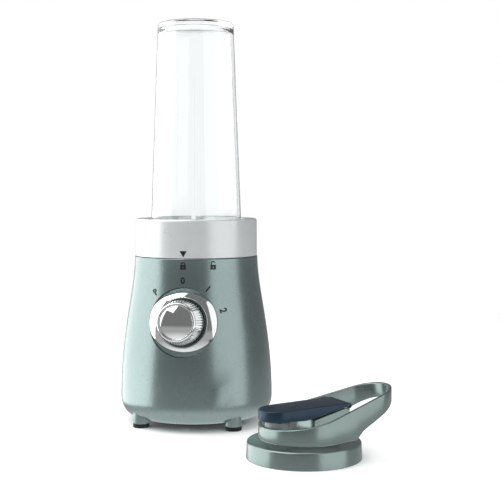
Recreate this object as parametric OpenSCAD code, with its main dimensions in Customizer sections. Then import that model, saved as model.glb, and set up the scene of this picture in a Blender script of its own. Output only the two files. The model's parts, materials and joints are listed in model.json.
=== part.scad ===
// Compact countertop blender: motor base with a front dial, blade unit that locks on the base,
// inverted travel cup screwed into it, and the drinking lid that belongs to the cup, standing beside.
// Millimetres. Z is the drive axis and points up, z = 0 is the tabletop, -Y is the front.

/* [Base] */
// Largest diameter of the base, just above its rounded foot
base_d = 136; // [130:1:165]
// Height of the base's upper rim above the table
base_top_z = 148.5; // [146:0.5:180]
// Gap between the underside of the base and the table
base_lift = 7; // [5:0.5:10]
// Height at which the base is widest
belly_z = 24; // [21:1:34]
// Wall of the base housing
housing_wall = 2.6; // [2:0.1:3.4]

/* [Feet] */
// Distance from the base's widest edge in to the middle of each foot
foot_inset = 10; // [8:0.5:14]
// Radius of a rubber foot pad
pad_r = 7.3; // [6:0.1:8.5]
// Height of a rubber foot pad
pad_h = 3.2; // [2.8:0.1:4.2]

/* [Dial] */
// Height of the dial's centre above the table
dial_z = 95; // [90:0.5:102]
// Upward tilt of the dial's axis, to suit the slope of the base
dial_tilt = 7.5; // [5:0.5:10]
// Outer radius of the bezel ring
bezel_r = 29.5; // [27:0.5:31]
// Radius of the knob where it meets the base
knob_r = 20.8; // [18:0.1:25]
// Radius of the knob's front face
knob_face_r = 16.4; // [14:0.1:18]
// Distance from the base's surface to the knob's front face
knob_h = 22.5; // [18:0.5:25]

/* [Blade unit] */
// Width of the collar's top, from the socket's wall to the outside
collar_band = 11.4; // [10:0.1:16]
// Height of the collar
collar_h = 33; // [31:0.5:38]
// Wall of the collar's outer band
collar_wall = 2.4; // [2:0.1:3]
// Gap between the collar and the base under it
collar_gap = 0.5; // [0.4:0.1:1]
// Twist that frees the lugs from the base, in degrees
unlock_angle = 27; // [25:1:30]

/* [Cup] */
// Radius of the cup's straight mouth
mouth_r = 40.6; // [38:0.1:49]
// Radius of the cup's closed end
cup_end_r = 33.5; // [30:0.1:36]
// Height of the cup from its rim to its closed end
cup_h = 201; // [165:1:240]
// Wall of the cup
cup_wall = 2.3; // [2:0.1:2.8]
// Pitch of the cup's thread
thread_pitch = 6; // [5.5:0.1:6.5]

/* [Lid] */
// Wall of the lid's screw ring
lid_wall = 2.4; // [2:0.1:4]
// Height of the lid's screw ring
lid_ring_h = 13.4; // [13:0.1:16]
// Distance of the lid's axis from the blender's axis
lid_distance = 168; // [160:0.5:190]
// Direction in which the lid stands, in degrees from +X
lid_bearing = -48.3; // [-70:0.1:-30]
// Direction in which the carrying loop points, in degrees from +X
loop_bearing = 35; // [20:1:45]
// Reach of the carrying loop from the lid's axis
loop_reach = 76; // [72:1:92]
// Height of the loop's top edge at its far end
loop_tip_z = 52.5; // [50:0.5:58]
// Width of the flip cap
flip_w = 30; // [27:0.5:36]

/* [Hidden] */
$fn = 96;
e = 0.01;
fit = 0.3;                                   // clearance between pieces that move past each other

// ---------- outline of the base ----------
thread_depth = 1.6;
thread_gap = 0.6;
thread_crest_r = mouth_r + thread_depth;
socket_r = thread_crest_r + thread_gap;      // plain wall of every socket that takes the cup's mouth
socket_wall = 2.6;
collar_r = socket_r + collar_band;
rim_step = 0.7;                              // the base's rim stands this far outside the collar
belly_r = base_d / 2;
rim_r = collar_r + rim_step;
foot_circle_r = belly_r - foot_inset;
foot_round_r = 12;                           // how far the bottom edge curls in
base_underside_r = belly_r - foot_round_r;
shoulder_pull = 0.24;                        // share of the height over which the side leaves each end upright
belly_pull = 0.45;

function bezier(a, b, c, d, t) =
    a * pow(1 - t, 3) + 3 * b * t * pow(1 - t, 2) + 3 * c * t * t * (1 - t) + d * pow(t, 3);
side_h = base_top_z - belly_z;
function side_r(t, inset) = bezier(rim_r, rim_r, belly_r, belly_r, t) - inset;
function side_z(t) =
    bezier(base_top_z, base_top_z - shoulder_pull * side_h, belly_z + belly_pull * side_h, belly_z, t);
// the parameter at which the side passes a height, by halving
function side_t(z, lo = 0, hi = 1, n = 20) =
    n == 0 ? (lo + hi) / 2
    : side_z((lo + hi) / 2) > z ? side_t(z, (lo + hi) / 2, hi, n - 1)
    : side_t(z, lo, (lo + hi) / 2, n - 1);
function surface_r(z) = side_r(side_t(z), 0);

side_steps = 22;
round_steps = 9;
function base_outline(inset, floor_z) = concat(
    [for (i = [0:side_steps]) [side_r(i / side_steps, inset), side_z(i / side_steps)]],
    [for (i = [1:round_steps])
        let (a = 90 * i / round_steps)
        [base_underside_r + (foot_round_r - inset) * cos(a),
         belly_z - (belly_z - floor_z) * sin(a)]]);

module turned(outline) {
    rotate_extrude() polygon(concat([[0, outline[0][1]]], outline, [[0, outline[len(outline) - 1][1]]]));
}
module tube(r_out, r_in, z, h) {
    translate([0, 0, z]) difference() {
        cylinder(r = r_out, h = h);
        translate([0, 0, -1]) cylinder(r = r_in, h = h + 2);
    }
}
module ring_of(n, r, start = 0) {
    for (i = [0:n - 1]) rotate(start + i * 360 / n) translate([r, 0, 0]) children();
}
module sector(r, h, half_angle) {
    linear_extrude(h) polygon([[0, 0],
        [r * cos(half_angle), -r * sin(half_angle)], [r * 1.2, 0],
        [r * cos(half_angle), r * sin(half_angle)]]);
}

// ---------- places shared by several pieces ----------
deck_r = rim_r - housing_wall - fit;         // the deck drops inside the housing's rim
deck_top_z = base_top_z - 0.6;
skirt_r = socket_r - 4.8;                    // skirt of the blade unit, which drops into the base
skirt_wall = 3;
lug_reach = 3.4;
well_r = skirt_r + lug_reach + 0.6;          // radius of the well that takes the skirt
well_wall = 2.4;
well_depth = 26.5;
well_floor_z = base_top_z - well_depth;
well_floor = 2.6;
skirt_bottom_z = well_floor_z + 3;
lug_z = well_floor_z + 10.5;
lug_h = 4;
lug_half = 11;
ledge_gap = 0.4;
ledge_half = 12;
ledge_h = 3;
lugs = 3;
plunger_r = 3;
plunger_circle_r = skirt_r - skirt_wall / 2;
plunger_travel = 3;
plunger_guide_r = plunger_r + fit;

motor_post_circle_r = 36;
motor_post_r = 5;
motor_screw_r = 1.7;
bracket_t = 3;
upper_bracket_z = 93;
damper_h = 6;
post_bottom_z = upper_bracket_z + bracket_t + damper_h;
lower_bracket_z = 31;
stator_z = 48;
stator_h = 36;
stator_bore_r = 19.6;
rotor_r = 18.9;
shaft_r = 4;
shaft_bottom_z = 15;
coupling_z = well_floor_z - 3;               // underside of the drive coupling
coupling_h = 12;
coupling_r = 13;
spline_n = 6;
spline_core_r = 6.5;
spline_tip_r = 9.2;
spline_w = 2.6;
spline_gap = 0.35;
deck_bore_r = coupling_r + 3;

collar_z = base_top_z + collar_gap;
collar_top_z = collar_z + collar_h;
collar_floor = 3;
gasket_h = 1.8;
rim_z = collar_z + collar_floor + gasket_h;
thread_turns = 1;
thread_start = 5;                            // height of the thread's first centre line above the rim
lip_r = socket_r + 2.7;                       // the top slopes in from here to the socket
hub_r = 10;
hub_top_z = collar_z + 8;
hub_bottom_z = collar_z - 12;
bush_r = 6.5;
blade_shaft_r = 4;
running_gap = 0.05;

// ---------- screw thread ----------
thread_step = 10;
function ridge_points(r_root, r_crest, z, turns, w_root, w_crest) = [
    for (i = [0:round(turns * 360 / thread_step)])
        let (a = i * thread_step, h = z + thread_pitch * a / 360)
        each [
            [r_root * cos(a), r_root * sin(a), h - w_root / 2],
            [r_crest * cos(a), r_crest * sin(a), h - w_crest / 2],
            [r_crest * cos(a), r_crest * sin(a), h + w_crest / 2],
            [r_root * cos(a), r_root * sin(a), h + w_root / 2]]];
function ridge_faces(n, flip) = concat(
    [flip ? [3, 2, 1, 0] : [0, 1, 2, 3]],
    [for (i = [0:n - 1]) for (k = [0:3])
        let (a = 4 * i + k, b = 4 * i + (k + 1) % 4)
        each flip ? [[a, b, b + 4], [a, b + 4, a + 4]] : [[a, b + 4, b], [a, a + 4, b + 4]]],
    [flip ? [4 * n, 4 * n + 1, 4 * n + 2, 4 * n + 3] : [4 * n + 3, 4 * n + 2, 4 * n + 1, 4 * n]]);
// a helical ridge; a crest inside its root makes an internal thread
module thread_ridge(r_root, r_crest, z, turns) {
    steps = round(turns * 360 / thread_step);
    polyhedron(
        points = ridge_points(r_root, r_crest, z, turns, 2.6, 1.3),
        faces = ridge_faces(steps, r_crest > r_root),
        convexity = 6);
}

// ---------- base housing and its fittings ----------
leg_r = 6.75;
leg_top_z = 14;
boss_r = 4.2;
screw_r = 1.5;
cover_boss_circle_r = 46;
cover_t = 2.4;
cover_r = foot_circle_r - leg_r - 0.8;
cover_z = base_lift - cover_t;
cover_overlap = 4;
gland_z = 34;
gland_r = 6.6;
boss_top_z = 22;
peg_r = 2.4;
peg_h = 5;
deck_t = 3;
tab_z = well_floor_z + 5;
tab_t = 3;
tab_w = 9;
deck_screw_circle_r = well_r + well_wall + 3.4;
guide_bottom_z = well_floor_z - 20;
seat_drop = surface_r(dial_z) - sqrt(pow(surface_r(dial_z), 2) - pow(bezel_r, 2));

module dial_place() {
    translate([0, -surface_r(dial_z), dial_z]) rotate([90 - dial_tilt, 0, 0]) children();
}
spindle_r = 3;
spindle_hole_r = 5;

module solid_where_fixed() {
    // legs above their pads, and the bosses for the cover's screws
    ring_of(4, foot_circle_r, 45) cylinder(r = leg_r, h = leg_top_z + 2);
    ring_of(4, cover_boss_circle_r) cylinder(r = boss_r, h = boss_top_z);
}
module deck_tab() {
    translate([deck_screw_circle_r - 3, -tab_w / 2, tab_z]) cube([rim_r, tab_w, tab_t]);
}
module base_housing() {
    color("#8d9a9b") difference() {
        union() {
            turned(base_outline(0, base_lift));
            ring_of(4, foot_circle_r, 45) translate([0, 0, pad_h])
                cylinder(r1 = leg_r, r2 = leg_r + 0.6, h = leg_top_z - pad_h);
        }
        difference() {
            turned(base_outline(housing_wall, base_lift + housing_wall));
            solid_where_fixed();
            for (i = [0:3]) rotate(45 + 90 * i) deck_tab();
            // the dial's seat has a wall of its own behind it
            dial_place() translate([0, 0, -seat_drop - housing_wall])
                cylinder(r = bezel_r + housing_wall, h = 20);
        }
        translate([0, 0, deck_top_z - deck_t]) cylinder(r = rim_r - housing_wall, h = 10);
        difference() {
            translate([0, 0, base_lift - 1]) cylinder(r = cover_r - cover_overlap, h = housing_wall + 2);
            solid_where_fixed();
        }
        ring_of(4, cover_boss_circle_r) cylinder(r = screw_r, h = boss_top_z - 3);
        ring_of(4, foot_circle_r, 45) cylinder(r = peg_r, h = pad_h + peg_h);
        ring_of(4, deck_screw_circle_r, 45) translate([0, 0, tab_z - 1])
            cylinder(r = screw_r + fit, h = tab_t + 2);
        dial_place() {
            translate([0, 0, -seat_drop]) cylinder(r = bezel_r + fit, h = 40);
            translate([0, 0, -40]) cylinder(r = spindle_hole_r, h = 60);
        }
        translate([0, 0, gland_z]) rotate([-90, 0, 0]) cylinder(r = gland_r, h = belly_r + 5);
    }
}

module top_deck() {
    color("#5d6668") difference() {
        union() {
            tube(deck_r, well_r, deck_top_z - deck_t, deck_t);
            tube(well_r + well_wall, well_r, well_floor_z - well_floor, deck_top_z - well_floor_z
                + well_floor);
            tube(well_r + e, deck_bore_r, well_floor_z - well_floor, well_floor);
            tube(deck_bore_r + 2, deck_bore_r, well_floor_z - well_floor, well_floor + 4);
            for (i = [0:lugs - 1]) rotate(90 + i * 360 / lugs) intersection() {
                tube(well_r + e, skirt_r + 0.6, lug_z + lug_h + ledge_gap, ledge_h);
                translate([0, 0, lug_z]) sector(60, 20, ledge_half);
            }
            ring_of(4, motor_post_circle_r, 45) translate([0, 0, post_bottom_z])
                cylinder(r = motor_post_r, h = well_floor_z - well_floor - post_bottom_z + e);
            ring_of(2, plunger_circle_r) translate([0, 0, guide_bottom_z])
                cylinder(r = plunger_guide_r + 1.8, h = well_floor_z - guide_bottom_z);
            ring_of(4, deck_screw_circle_r, 45) translate([0, 0, tab_z + tab_t])
                cylinder(r = 3.6, h = deck_top_z - tab_z - tab_t - 1);
        }
        cylinder(r = deck_bore_r, h = well_floor_z + 10);
        ring_of(2, plunger_circle_r) cylinder(r = plunger_guide_r, h = well_floor_z + 1);
        ring_of(4, motor_post_circle_r, 45) translate([0, 0, post_bottom_z - 1])
            cylinder(r = motor_screw_r, h = 14);
        ring_of(4, deck_screw_circle_r, 45) translate([0, 0, tab_z - 1]) cylinder(r = screw_r, h = 15);
    }
}

module screw(r, head_r, length, head_h = 2) {
    translate([0, 0, -e]) cylinder(r = r, h = length + e);
    translate([0, 0, -head_h]) difference() {
        cylinder(r = head_r, h = head_h);
        for (a = [0, 90]) rotate(a) translate([-head_r * 0.6, -0.45, -1]) cube([head_r * 1.2, 0.9, 1.7]);
    }
}
module deck_screws() {
    color("silver") ring_of(4, deck_screw_circle_r, 45) translate([0, 0, tab_z]) screw(screw_r, 2.8, 12);
}

module bottom_cover() {
    color("#3f4547") difference() {
        union() {
            translate([0, 0, cover_z]) cylinder(r = cover_r, h = cover_t);
            tube(cover_r - cover_overlap - 0.5, cover_r - cover_overlap - 2.5, cover_z + cover_t - e, 2.4);
        }
        for (ring = [0:3]) ring_of(16, 10.5 + 5.5 * ring, 11.25 * (ring % 2))
            translate([-1.8, -0.9 - 0.25 * ring, cover_z - 1]) cube([3.6, 1.8 + 0.5 * ring, cover_t + 2]);
        ring_of(4, cover_boss_circle_r) {
            cylinder(r = screw_r + fit, h = 20);
            cylinder(r = 3.4, h = cover_z + 1.3);
            translate([0, 0, base_lift]) cylinder(r = boss_r + fit, h = 5);
        }
    }
}
module cover_screws() {
    color("silver") ring_of(4, cover_boss_circle_r)
        translate([0, 0, cover_z + 1.3]) screw(screw_r, 3.1, 12, 1.2);
}

module foot_pad(a) {
    color("#1b1b1b") rotate(a) translate([foot_circle_r, 0, 0]) {
        cylinder(r1 = pad_r - 0.6, r2 = pad_r, h = 0.8);
        translate([0, 0, 0.8 - e]) cylinder(r = pad_r, h = pad_h - 0.8 + e);
        translate([0, 0, pad_h - e]) cylinder(r = peg_r, h = peg_h);
    }
}

module cord_gland() {
    inner_y = surface_r(gland_z) - 8;
    color("#222222") difference() {
        union() {
            translate([0, inner_y, gland_z]) rotate([-90, 0, 0]) cylinder(r = gland_r, h = 13);
            translate([0, inner_y - 2, gland_z]) rotate([-90, 0, 0]) cylinder(r = gland_r + 2, h = 4);
            translate([0, inner_y + 9.4, gland_z]) rotate([-90, 0, 0])
                cylinder(r1 = gland_r + 1.8, r2 = gland_r + 0.6, h = 3.6);
        }
        translate([0, inner_y - 5, gland_z]) rotate([-90, 0, 0]) cylinder(r = 3.6, h = 30);
    }
}

// ---------- dial ----------
bezel_t = 2.4;
bezel_edge = 1;
bezel_in_r = knob_r + 0.5;
knob_gap = 0.6;                              // gap between the knob and its seat
knob_len = knob_h + seat_drop - knob_gap;
grip_n = 48;
grip_r = 0.7;
cap_r = 13.8;
grip_lean = atan((knob_r - knob_face_r) / knob_len);
switch_size = 24;

// the seat of the dial is the origin of every piece here
module seat() {
    dial_place() translate([0, 0, -seat_drop]) children();
}
module dial_bezel() {
    color("#e6e9e9") seat() rotate_extrude() polygon([[bezel_in_r, 0], [bezel_r, 0], [bezel_r, bezel_edge],
        [bezel_r - 0.6, bezel_edge + 0.4], [bezel_in_r + 0.6, bezel_t], [bezel_in_r, bezel_t - 0.5]]);
}
module dial_knob() {
    color("#cfd4d4") seat() translate([0, 0, knob_gap]) difference() {
        union() {
            cylinder(r1 = knob_r, r2 = knob_face_r + 0.6, h = knob_len - 1.4);
            translate([0, 0, knob_len - 1.4 - e])
                cylinder(r1 = knob_face_r, r2 = knob_face_r - 1, h = 1.4 + e);
        }
        for (i = [0:grip_n - 1]) rotate(i * 360 / grip_n) translate([knob_r + 0.25, 0, 1.5])
            rotate([0, -grip_lean, 0]) cylinder(r = grip_r, h = knob_len - 4.5);
        translate([0, 0, knob_len - 1]) cylinder(r = cap_r, h = 3);
        translate([0, 0, -1]) cylinder(r = spindle_r, h = 14);
        translate([0, 0, -1]) difference() {
            cylinder(r = knob_face_r - 2.4, h = knob_len - 6);
            translate([0, 0, -1]) cylinder(r = 7, h = knob_len);
        }
        // pointer groove across the rim of the face
        translate([-0.6, cap_r + 0.4, knob_len - 0.9]) cube([1.2, 6, 3]);
    }
}
module dial_cap() {
    color("#f2f4f4") seat() translate([0, 0, knob_gap + knob_len - 1]) {
        cylinder(r = cap_r, h = 1);
        translate([0, 0, 1 - e]) cylinder(r1 = cap_r - 0.5, r2 = cap_r - 1.2, h = 0.4);
    }
}
module dial_spindle() {
    color("silver") seat() translate([0, 0, -15]) cylinder(r = spindle_r, h = 15 + knob_gap + 12);
}
module rotary_switch() {
    color("#e8e2d0") seat() translate([0, 0, -housing_wall]) difference() {
        union() {
            translate([-switch_size / 2, -switch_size / 2, -14]) cube([switch_size, switch_size, 14]);
            translate([0, 0, -e]) cylinder(r = spindle_hole_r - 0.2, h = housing_wall - 0.2);
        }
        translate([0, 0, -12.8]) cylinder(r = spindle_r + running_gap, h = 20);
    }
}

// ---------- motor ----------
coil_half = 38;
bracket_leg_r = 29.5;                       // circle of the legs between the stator and its brackets
bracket_leg_rad = 3;
module coil_slots(grow) {
    for (a = [coil_half, -coil_half, 180 - coil_half, 180 + coil_half]) rotate(a)
        translate([21 - grow, -2.5 - grow, 0]) cube([6 + 2 * grow, 5 + 2 * grow, stator_h + 2]);
}
module stator_core() {
    color("#7d8083") translate([0, 0, stator_z]) difference() {
        intersection() {
            cylinder(r = 35, h = stator_h);
            translate([-34, -30, 0]) cube([68, 60, stator_h]);
        }
        translate([0, 0, -1]) cylinder(r = stator_bore_r, h = stator_h + 2);
        translate([0, 0, -1]) coil_slots(0.15);
        ring_of(4, bracket_leg_r, 45) translate([0, 0, -1]) cylinder(r = 1.9, h = stator_h + 2);
    }
}
module end_turn(z, h) {
    for (s = [0, 180]) rotate(s - coil_half) translate([0, 0, z])
        rotate_extrude(angle = 2 * coil_half) translate([21, 0]) square([6, h]);
}
module field_coils() {
    color("#b5652b") {
        end_turn(stator_z - 6, 5.7);
        end_turn(stator_z + stator_h + 0.3, 5.7);
        translate([0, 0, stator_z - 1]) coil_slots(0);
    }
}
module bracket_arms(r, w, t) {
    for (a = [45, 135]) rotate(a) translate([-r, -w / 2, 0]) cube([2 * r, w, t]);
}
module upper_bracket() {
    color("#9a9ea0") difference() {
        union() {
            translate([0, 0, upper_bracket_z]) {
                bracket_arms(motor_post_circle_r, 13, bracket_t);
                cylinder(r = 17, h = bracket_t);
                ring_of(4, motor_post_circle_r, 45) cylinder(r = 6.5, h = bracket_t);
            }
            translate([0, 0, upper_bracket_z]) cylinder(r = 11, h = 9);
        }
        translate([0, 0, upper_bracket_z - 1]) cylinder(r = 5, h = 12);
        translate([0, 0, upper_bracket_z + 2]) cylinder(r = 8, h = 9);
        ring_of(4, motor_post_circle_r, 45) translate([0, 0, upper_bracket_z - 1]) cylinder(r = 2.2, h = 5);
    }
    // four legs carry the stator from the bracket
    color("#9a9ea0") ring_of(4, bracket_leg_r, 45) translate([0, 0, stator_z + stator_h])
        cylinder(r = bracket_leg_rad, h = upper_bracket_z - stator_z - stator_h);
}
module lower_bracket() {
    color("#9a9ea0") {
        difference() {
            translate([0, 0, lower_bracket_z]) linear_extrude(bracket_t) {
                for (a = [45, 135]) rotate(a) square([68, 11], center = true);
                circle(r = 14);
            }
            translate([0, 0, lower_bracket_z - 1]) cylinder(r = 8, h = 2);
            translate([0, 0, lower_bracket_z - 1]) cylinder(r = 5, h = bracket_t + 2);
        }
        tube(11, 8, lower_bracket_z - 4, 4);
        ring_of(4, bracket_leg_r, 45) translate([0, 0, lower_bracket_z + 1])
            cylinder(r = bracket_leg_rad, h = stator_z - lower_bracket_z - 1);
    }
}
module bearing(z) {
    color("#c9a24a") tube(8, shaft_r + running_gap, z, 5);
}
module brush_holders() {
    color("#c49a45") for (s = [90, 270]) rotate(s) translate([10.2, 0, stator_z - 13]) difference() {
        translate([0, -4, 0]) cube([15, 8, 8]);
        translate([-1, -2.6, 1.4]) cube([17, 5.2, 5.2]);
    }
}
module carbon_brushes() {
    color("#26282a") for (s = [90, 270]) rotate(s) translate([9.4, -2.5, stator_z - 11.5]) cube([9, 5, 5]);
}
module motor_dampers() {
    color("#2a2a2a") ring_of(4, motor_post_circle_r, 45)
        tube(5.6, 2.2, upper_bracket_z + bracket_t, damper_h);
}
module motor_screws() {
    color("silver") ring_of(4, motor_post_circle_r, 45) translate([0, 0, upper_bracket_z])
        screw(motor_screw_r, 3.2, 20);
}

module motor_shaft() {
    color("#c4c8ca") translate([0, 0, shaft_bottom_z])
        cylinder(r = shaft_r, h = coupling_z + 5 - shaft_bottom_z);
}
armature_z = stator_z + 2;
armature_h = stator_h - 4;
module armature_core() {
    color("#6f7376") difference() {
        tube(rotor_r, shaft_r, armature_z, armature_h);
        ring_of(12, rotor_r) translate([-4, -0.9, armature_z - 1]) cube([6, 1.8, armature_h + 2]);
    }
}
module armature_windings() {
    color("#c06a2c") {
        tube(16, shaft_r, armature_z - 4.5, 4.5);
        tube(16, shaft_r, armature_z + armature_h, 6);
    }
}
module commutator() {
    color("#c9823f") difference() {
        tube(9, shaft_r, stator_z - 14, 10);
        ring_of(16, 9) translate([-0.8, -0.2, stator_z - 15]) cube([2, 0.4, 9]);
    }
}
fan_r = 27;
module cooling_fan() {
    color("#d9d6cc") {
        tube(8, shaft_r, shaft_bottom_z + 0.5, 10);
        difference() {
            tube(fan_r, shaft_r, shaft_bottom_z + 9, 1.5);
            ring_of(3, 15) translate([0, 0, shaft_bottom_z]) cylinder(r = 2.5, h = 20);
        }
        for (i = [0:9]) rotate(i * 36) translate([9, -0.8, shaft_bottom_z + 1]) cube([fan_r - 10, 1.6, 8.2]);
    }
}
module splines(grow) {
    cylinder(r = spline_core_r + grow, h = 40);
    for (i = [0:spline_n - 1]) rotate(i * 360 / spline_n)
        translate([0, -spline_w / 2 - grow, 0]) cube([spline_tip_r + grow, spline_w + 2 * grow, 40]);
}
module drive_coupling() {
    color("#2c2f31") difference() {
        translate([0, 0, coupling_z]) cylinder(r1 = coupling_r, r2 = coupling_r - 1, h = coupling_h);
        translate([0, 0, coupling_z - 1]) cylinder(r = shaft_r, h = 6);
        translate([0, 0, coupling_z + 5]) splines(spline_gap);
    }
}
module deck_seal() {
    color("#3a3a3a") tube(deck_bore_r + 3.6, deck_bore_r + 2, well_floor_z, 2.5);
}

// ---------- electrics ----------
board_y = 45;
module control_board() {
    color("#2f6b45") translate([-22, board_y, 52]) cube([44, 1.6, 44]);
}
module board_components() {
    color("#d7b23a") {
        translate([-19, board_y - 11, 56]) cube([16, 11, 12]);
        translate([4, board_y - 7, 58]) cube([14, 7, 9]);
        for (x = [-14, -4, 6]) translate([x, board_y, 84]) rotate([90, 0, 0]) cylinder(r = 3.6, h = 8);
    }
}
switch_box = [12, 20, 11];
module interlock_switches() {
    color("#30343a") ring_of(2, plunger_circle_r)
        translate([-switch_box[0] / 2, -switch_box[1] / 2, guide_bottom_z - switch_box[2]]) cube(switch_box);
}
plunger_bottom_z = well_floor_z - 11;
spring_wire = 0.45;
spring_turns = 4;
spring_step = (plunger_bottom_z - guide_bottom_z - 2 * spring_wire) / spring_turns;
// wire rings joined by short bars stand for each helical spring
module interlock_spring(a) {
    color("silver") rotate(a) translate([plunger_circle_r, 0, guide_bottom_z + spring_wire])
        for (i = [0:spring_turns]) translate([0, 0, i * spring_step]) {
            rotate_extrude() translate([2.2, 0]) circle(r = spring_wire, $fn = 24);
            if (i < spring_turns) rotate(i * 90) translate([2.2, 0, 0])
                cylinder(r = spring_wire * 0.7, h = spring_step, $fn = 24);
        }
}
module interlock_plunger(a) {
    color("#f1ede2") rotate(a) translate([plunger_circle_r, 0, plunger_bottom_z]) {
        len = skirt_bottom_z - ledge_gap - plunger_bottom_z;
        cylinder(r = plunger_r, h = len - 1.1);
        translate([0, 0, len - 1.1 - e]) cylinder(r1 = plunger_r, r2 = 1.2, h = 1.1 + e);
    }
}

// ---------- blade unit ----------
// cut in the skirt's edge that lets a plunger on the +Y side rise as the unit is unlocked
module ramp_cut() {
    run = plunger_circle_r * sin(unlock_angle);
    translate([0, plunger_circle_r + 6, skirt_bottom_z]) rotate([90, 0, 0]) linear_extrude(22)
        polygon([[0, -1], [0, 0], [run, plunger_travel + 0.4], [run + 9, plunger_travel + 0.4],
            [run + 9, -1]]);
}
module blade_collar() {
    inner = collar_r - collar_wall;
    color("#dde1e1") difference() {
        union() {
            // band, top lip, threaded socket, floor and the skirt that drops into the base
            rotate_extrude() polygon([
                [collar_r + 0.3, collar_z], [collar_r, collar_top_z - 1.6],
                    [collar_r - 0.5, collar_top_z - 0.5],
                [collar_r - 1.6, collar_top_z], [lip_r, collar_top_z], [socket_r, collar_top_z - 4],
                [socket_r, collar_z + collar_floor], [hub_r, collar_z + collar_floor], [hub_r, collar_z],
                [skirt_r - skirt_wall, collar_z], [skirt_r - skirt_wall, skirt_bottom_z],
                [skirt_r, skirt_bottom_z], [skirt_r, collar_z], [socket_r + socket_wall, collar_z],
                [socket_r + socket_wall, collar_top_z - 3], [inner, collar_top_z - 3], [inner, collar_z]]);
            thread_ridge(socket_r + 0.5, mouth_r + 0.5, rim_z + thread_start
                + thread_pitch / 2, thread_turns);
            for (i = [0:lugs - 1]) rotate(90 + i * 360 / lugs) intersection() {
                tube(skirt_r + lug_reach, skirt_r - e, lug_z, lug_h);
                translate([0, 0, lug_z - 1]) sector(60, lug_h + 2, lug_half);
            }
        }
        for (a = [0, 180]) rotate(a - 90) ramp_cut();
    }
}
module blade_hub() {
    color("#33383a") difference() {
        union() {
            translate([0, 0, collar_z + collar_floor]) cylinder(r1 = hub_r + 4, r2 = hub_r + 3, h = 1.6);
            translate([0, 0, collar_z + collar_floor])
                cylinder(r = hub_r, h = hub_top_z - collar_z - collar_floor);
            translate([0, 0, hub_bottom_z])
                cylinder(r = hub_r, h = collar_z + collar_floor - hub_bottom_z + e);
        }
        translate([0, 0, hub_bottom_z - 1]) cylinder(r = bush_r, h = 30);
    }
}
module hub_nut() {
    color("#9a9ea0") translate([0, 0, collar_z - 5]) difference() {
        cylinder(r = hub_r + 5, h = 5, $fn = 6);
        translate([0, 0, -1]) cylinder(r = hub_r, h = 7);
    }
}
module shaft_bush() {
    color("#b98b4a") tube(bush_r - running_gap, blade_shaft_r + running_gap, hub_bottom_z
        + 1, hub_top_z - hub_bottom_z - 4.6);
}
module hub_seal() {
    color("#8c2f2a") tube(bush_r, blade_shaft_r + 0.3, hub_top_z - 3.4, 2.4);
}
shaft_top_z = hub_top_z + 10;
module blade_shaft() {
    color("#c4c8ca") translate([0, 0, hub_bottom_z - 9])
        cylinder(r = blade_shaft_r, h = shaft_top_z - hub_bottom_z + 9);
}
module blade_wing(reach, width, tilt) {
    rotate([0, tilt, 0]) linear_extrude(blade_t) polygon([[0, -width / 2], [reach * 0.75, -width / 2.6],
        [reach, 0], [reach * 0.9, width / 2.2], [0, width / 2]]);
}
blade_t = 1.4;
blade_disc_r = 9;
wing_root = 8;
wing_w = 13;
module blades(z, reach, tilt, spin) {
    color("#d5d9db") difference() {
        union() {
            translate([0, 0, z]) cylinder(r = blade_disc_r, h = blade_t);
            for (s = [0, 180]) rotate(spin + s) translate([wing_root, 0, z])
                blade_wing(reach - wing_root, wing_w, tilt);
        }
        translate([0, 0, z - 2]) cylinder(r = blade_shaft_r, h = 6);
    }
}
module lower_blades() { blades(hub_top_z + 1.5, 30, 0, 20); }
module upper_blades() { blades(hub_top_z + 1.5 + blade_t, 26, -32, 110); }
module blade_nut() {
    color("#c4c8ca") translate([0, 0, hub_top_z + 1.5 + 2 * blade_t]) difference() {
        union() {
            cylinder(r = 7, h = 4.5, $fn = 6);
            translate([0, 0, 4.4]) cylinder(r1 = 5.6, r2 = 3.4, h = 3.4);
        }
        translate([0, 0, -1]) cylinder(r = blade_shaft_r, h = 7);
    }
}
module driven_coupling() {
    color("#2c2f31") difference() {
        union() {
            intersection() {
                translate([0, 0, coupling_z + 5.6]) splines(0);
                translate([0, 0, coupling_z]) cylinder(r = 20, h = hub_bottom_z - 2 - coupling_z);
            }
            translate([0, 0, coupling_z + coupling_h + 1])
                cylinder(r = 12, h = hub_bottom_z - 2 - coupling_z - coupling_h - 1);
        }
        translate([0, 0, hub_bottom_z - 9]) cylinder(r = blade_shaft_r, h = 20);
    }
}

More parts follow.
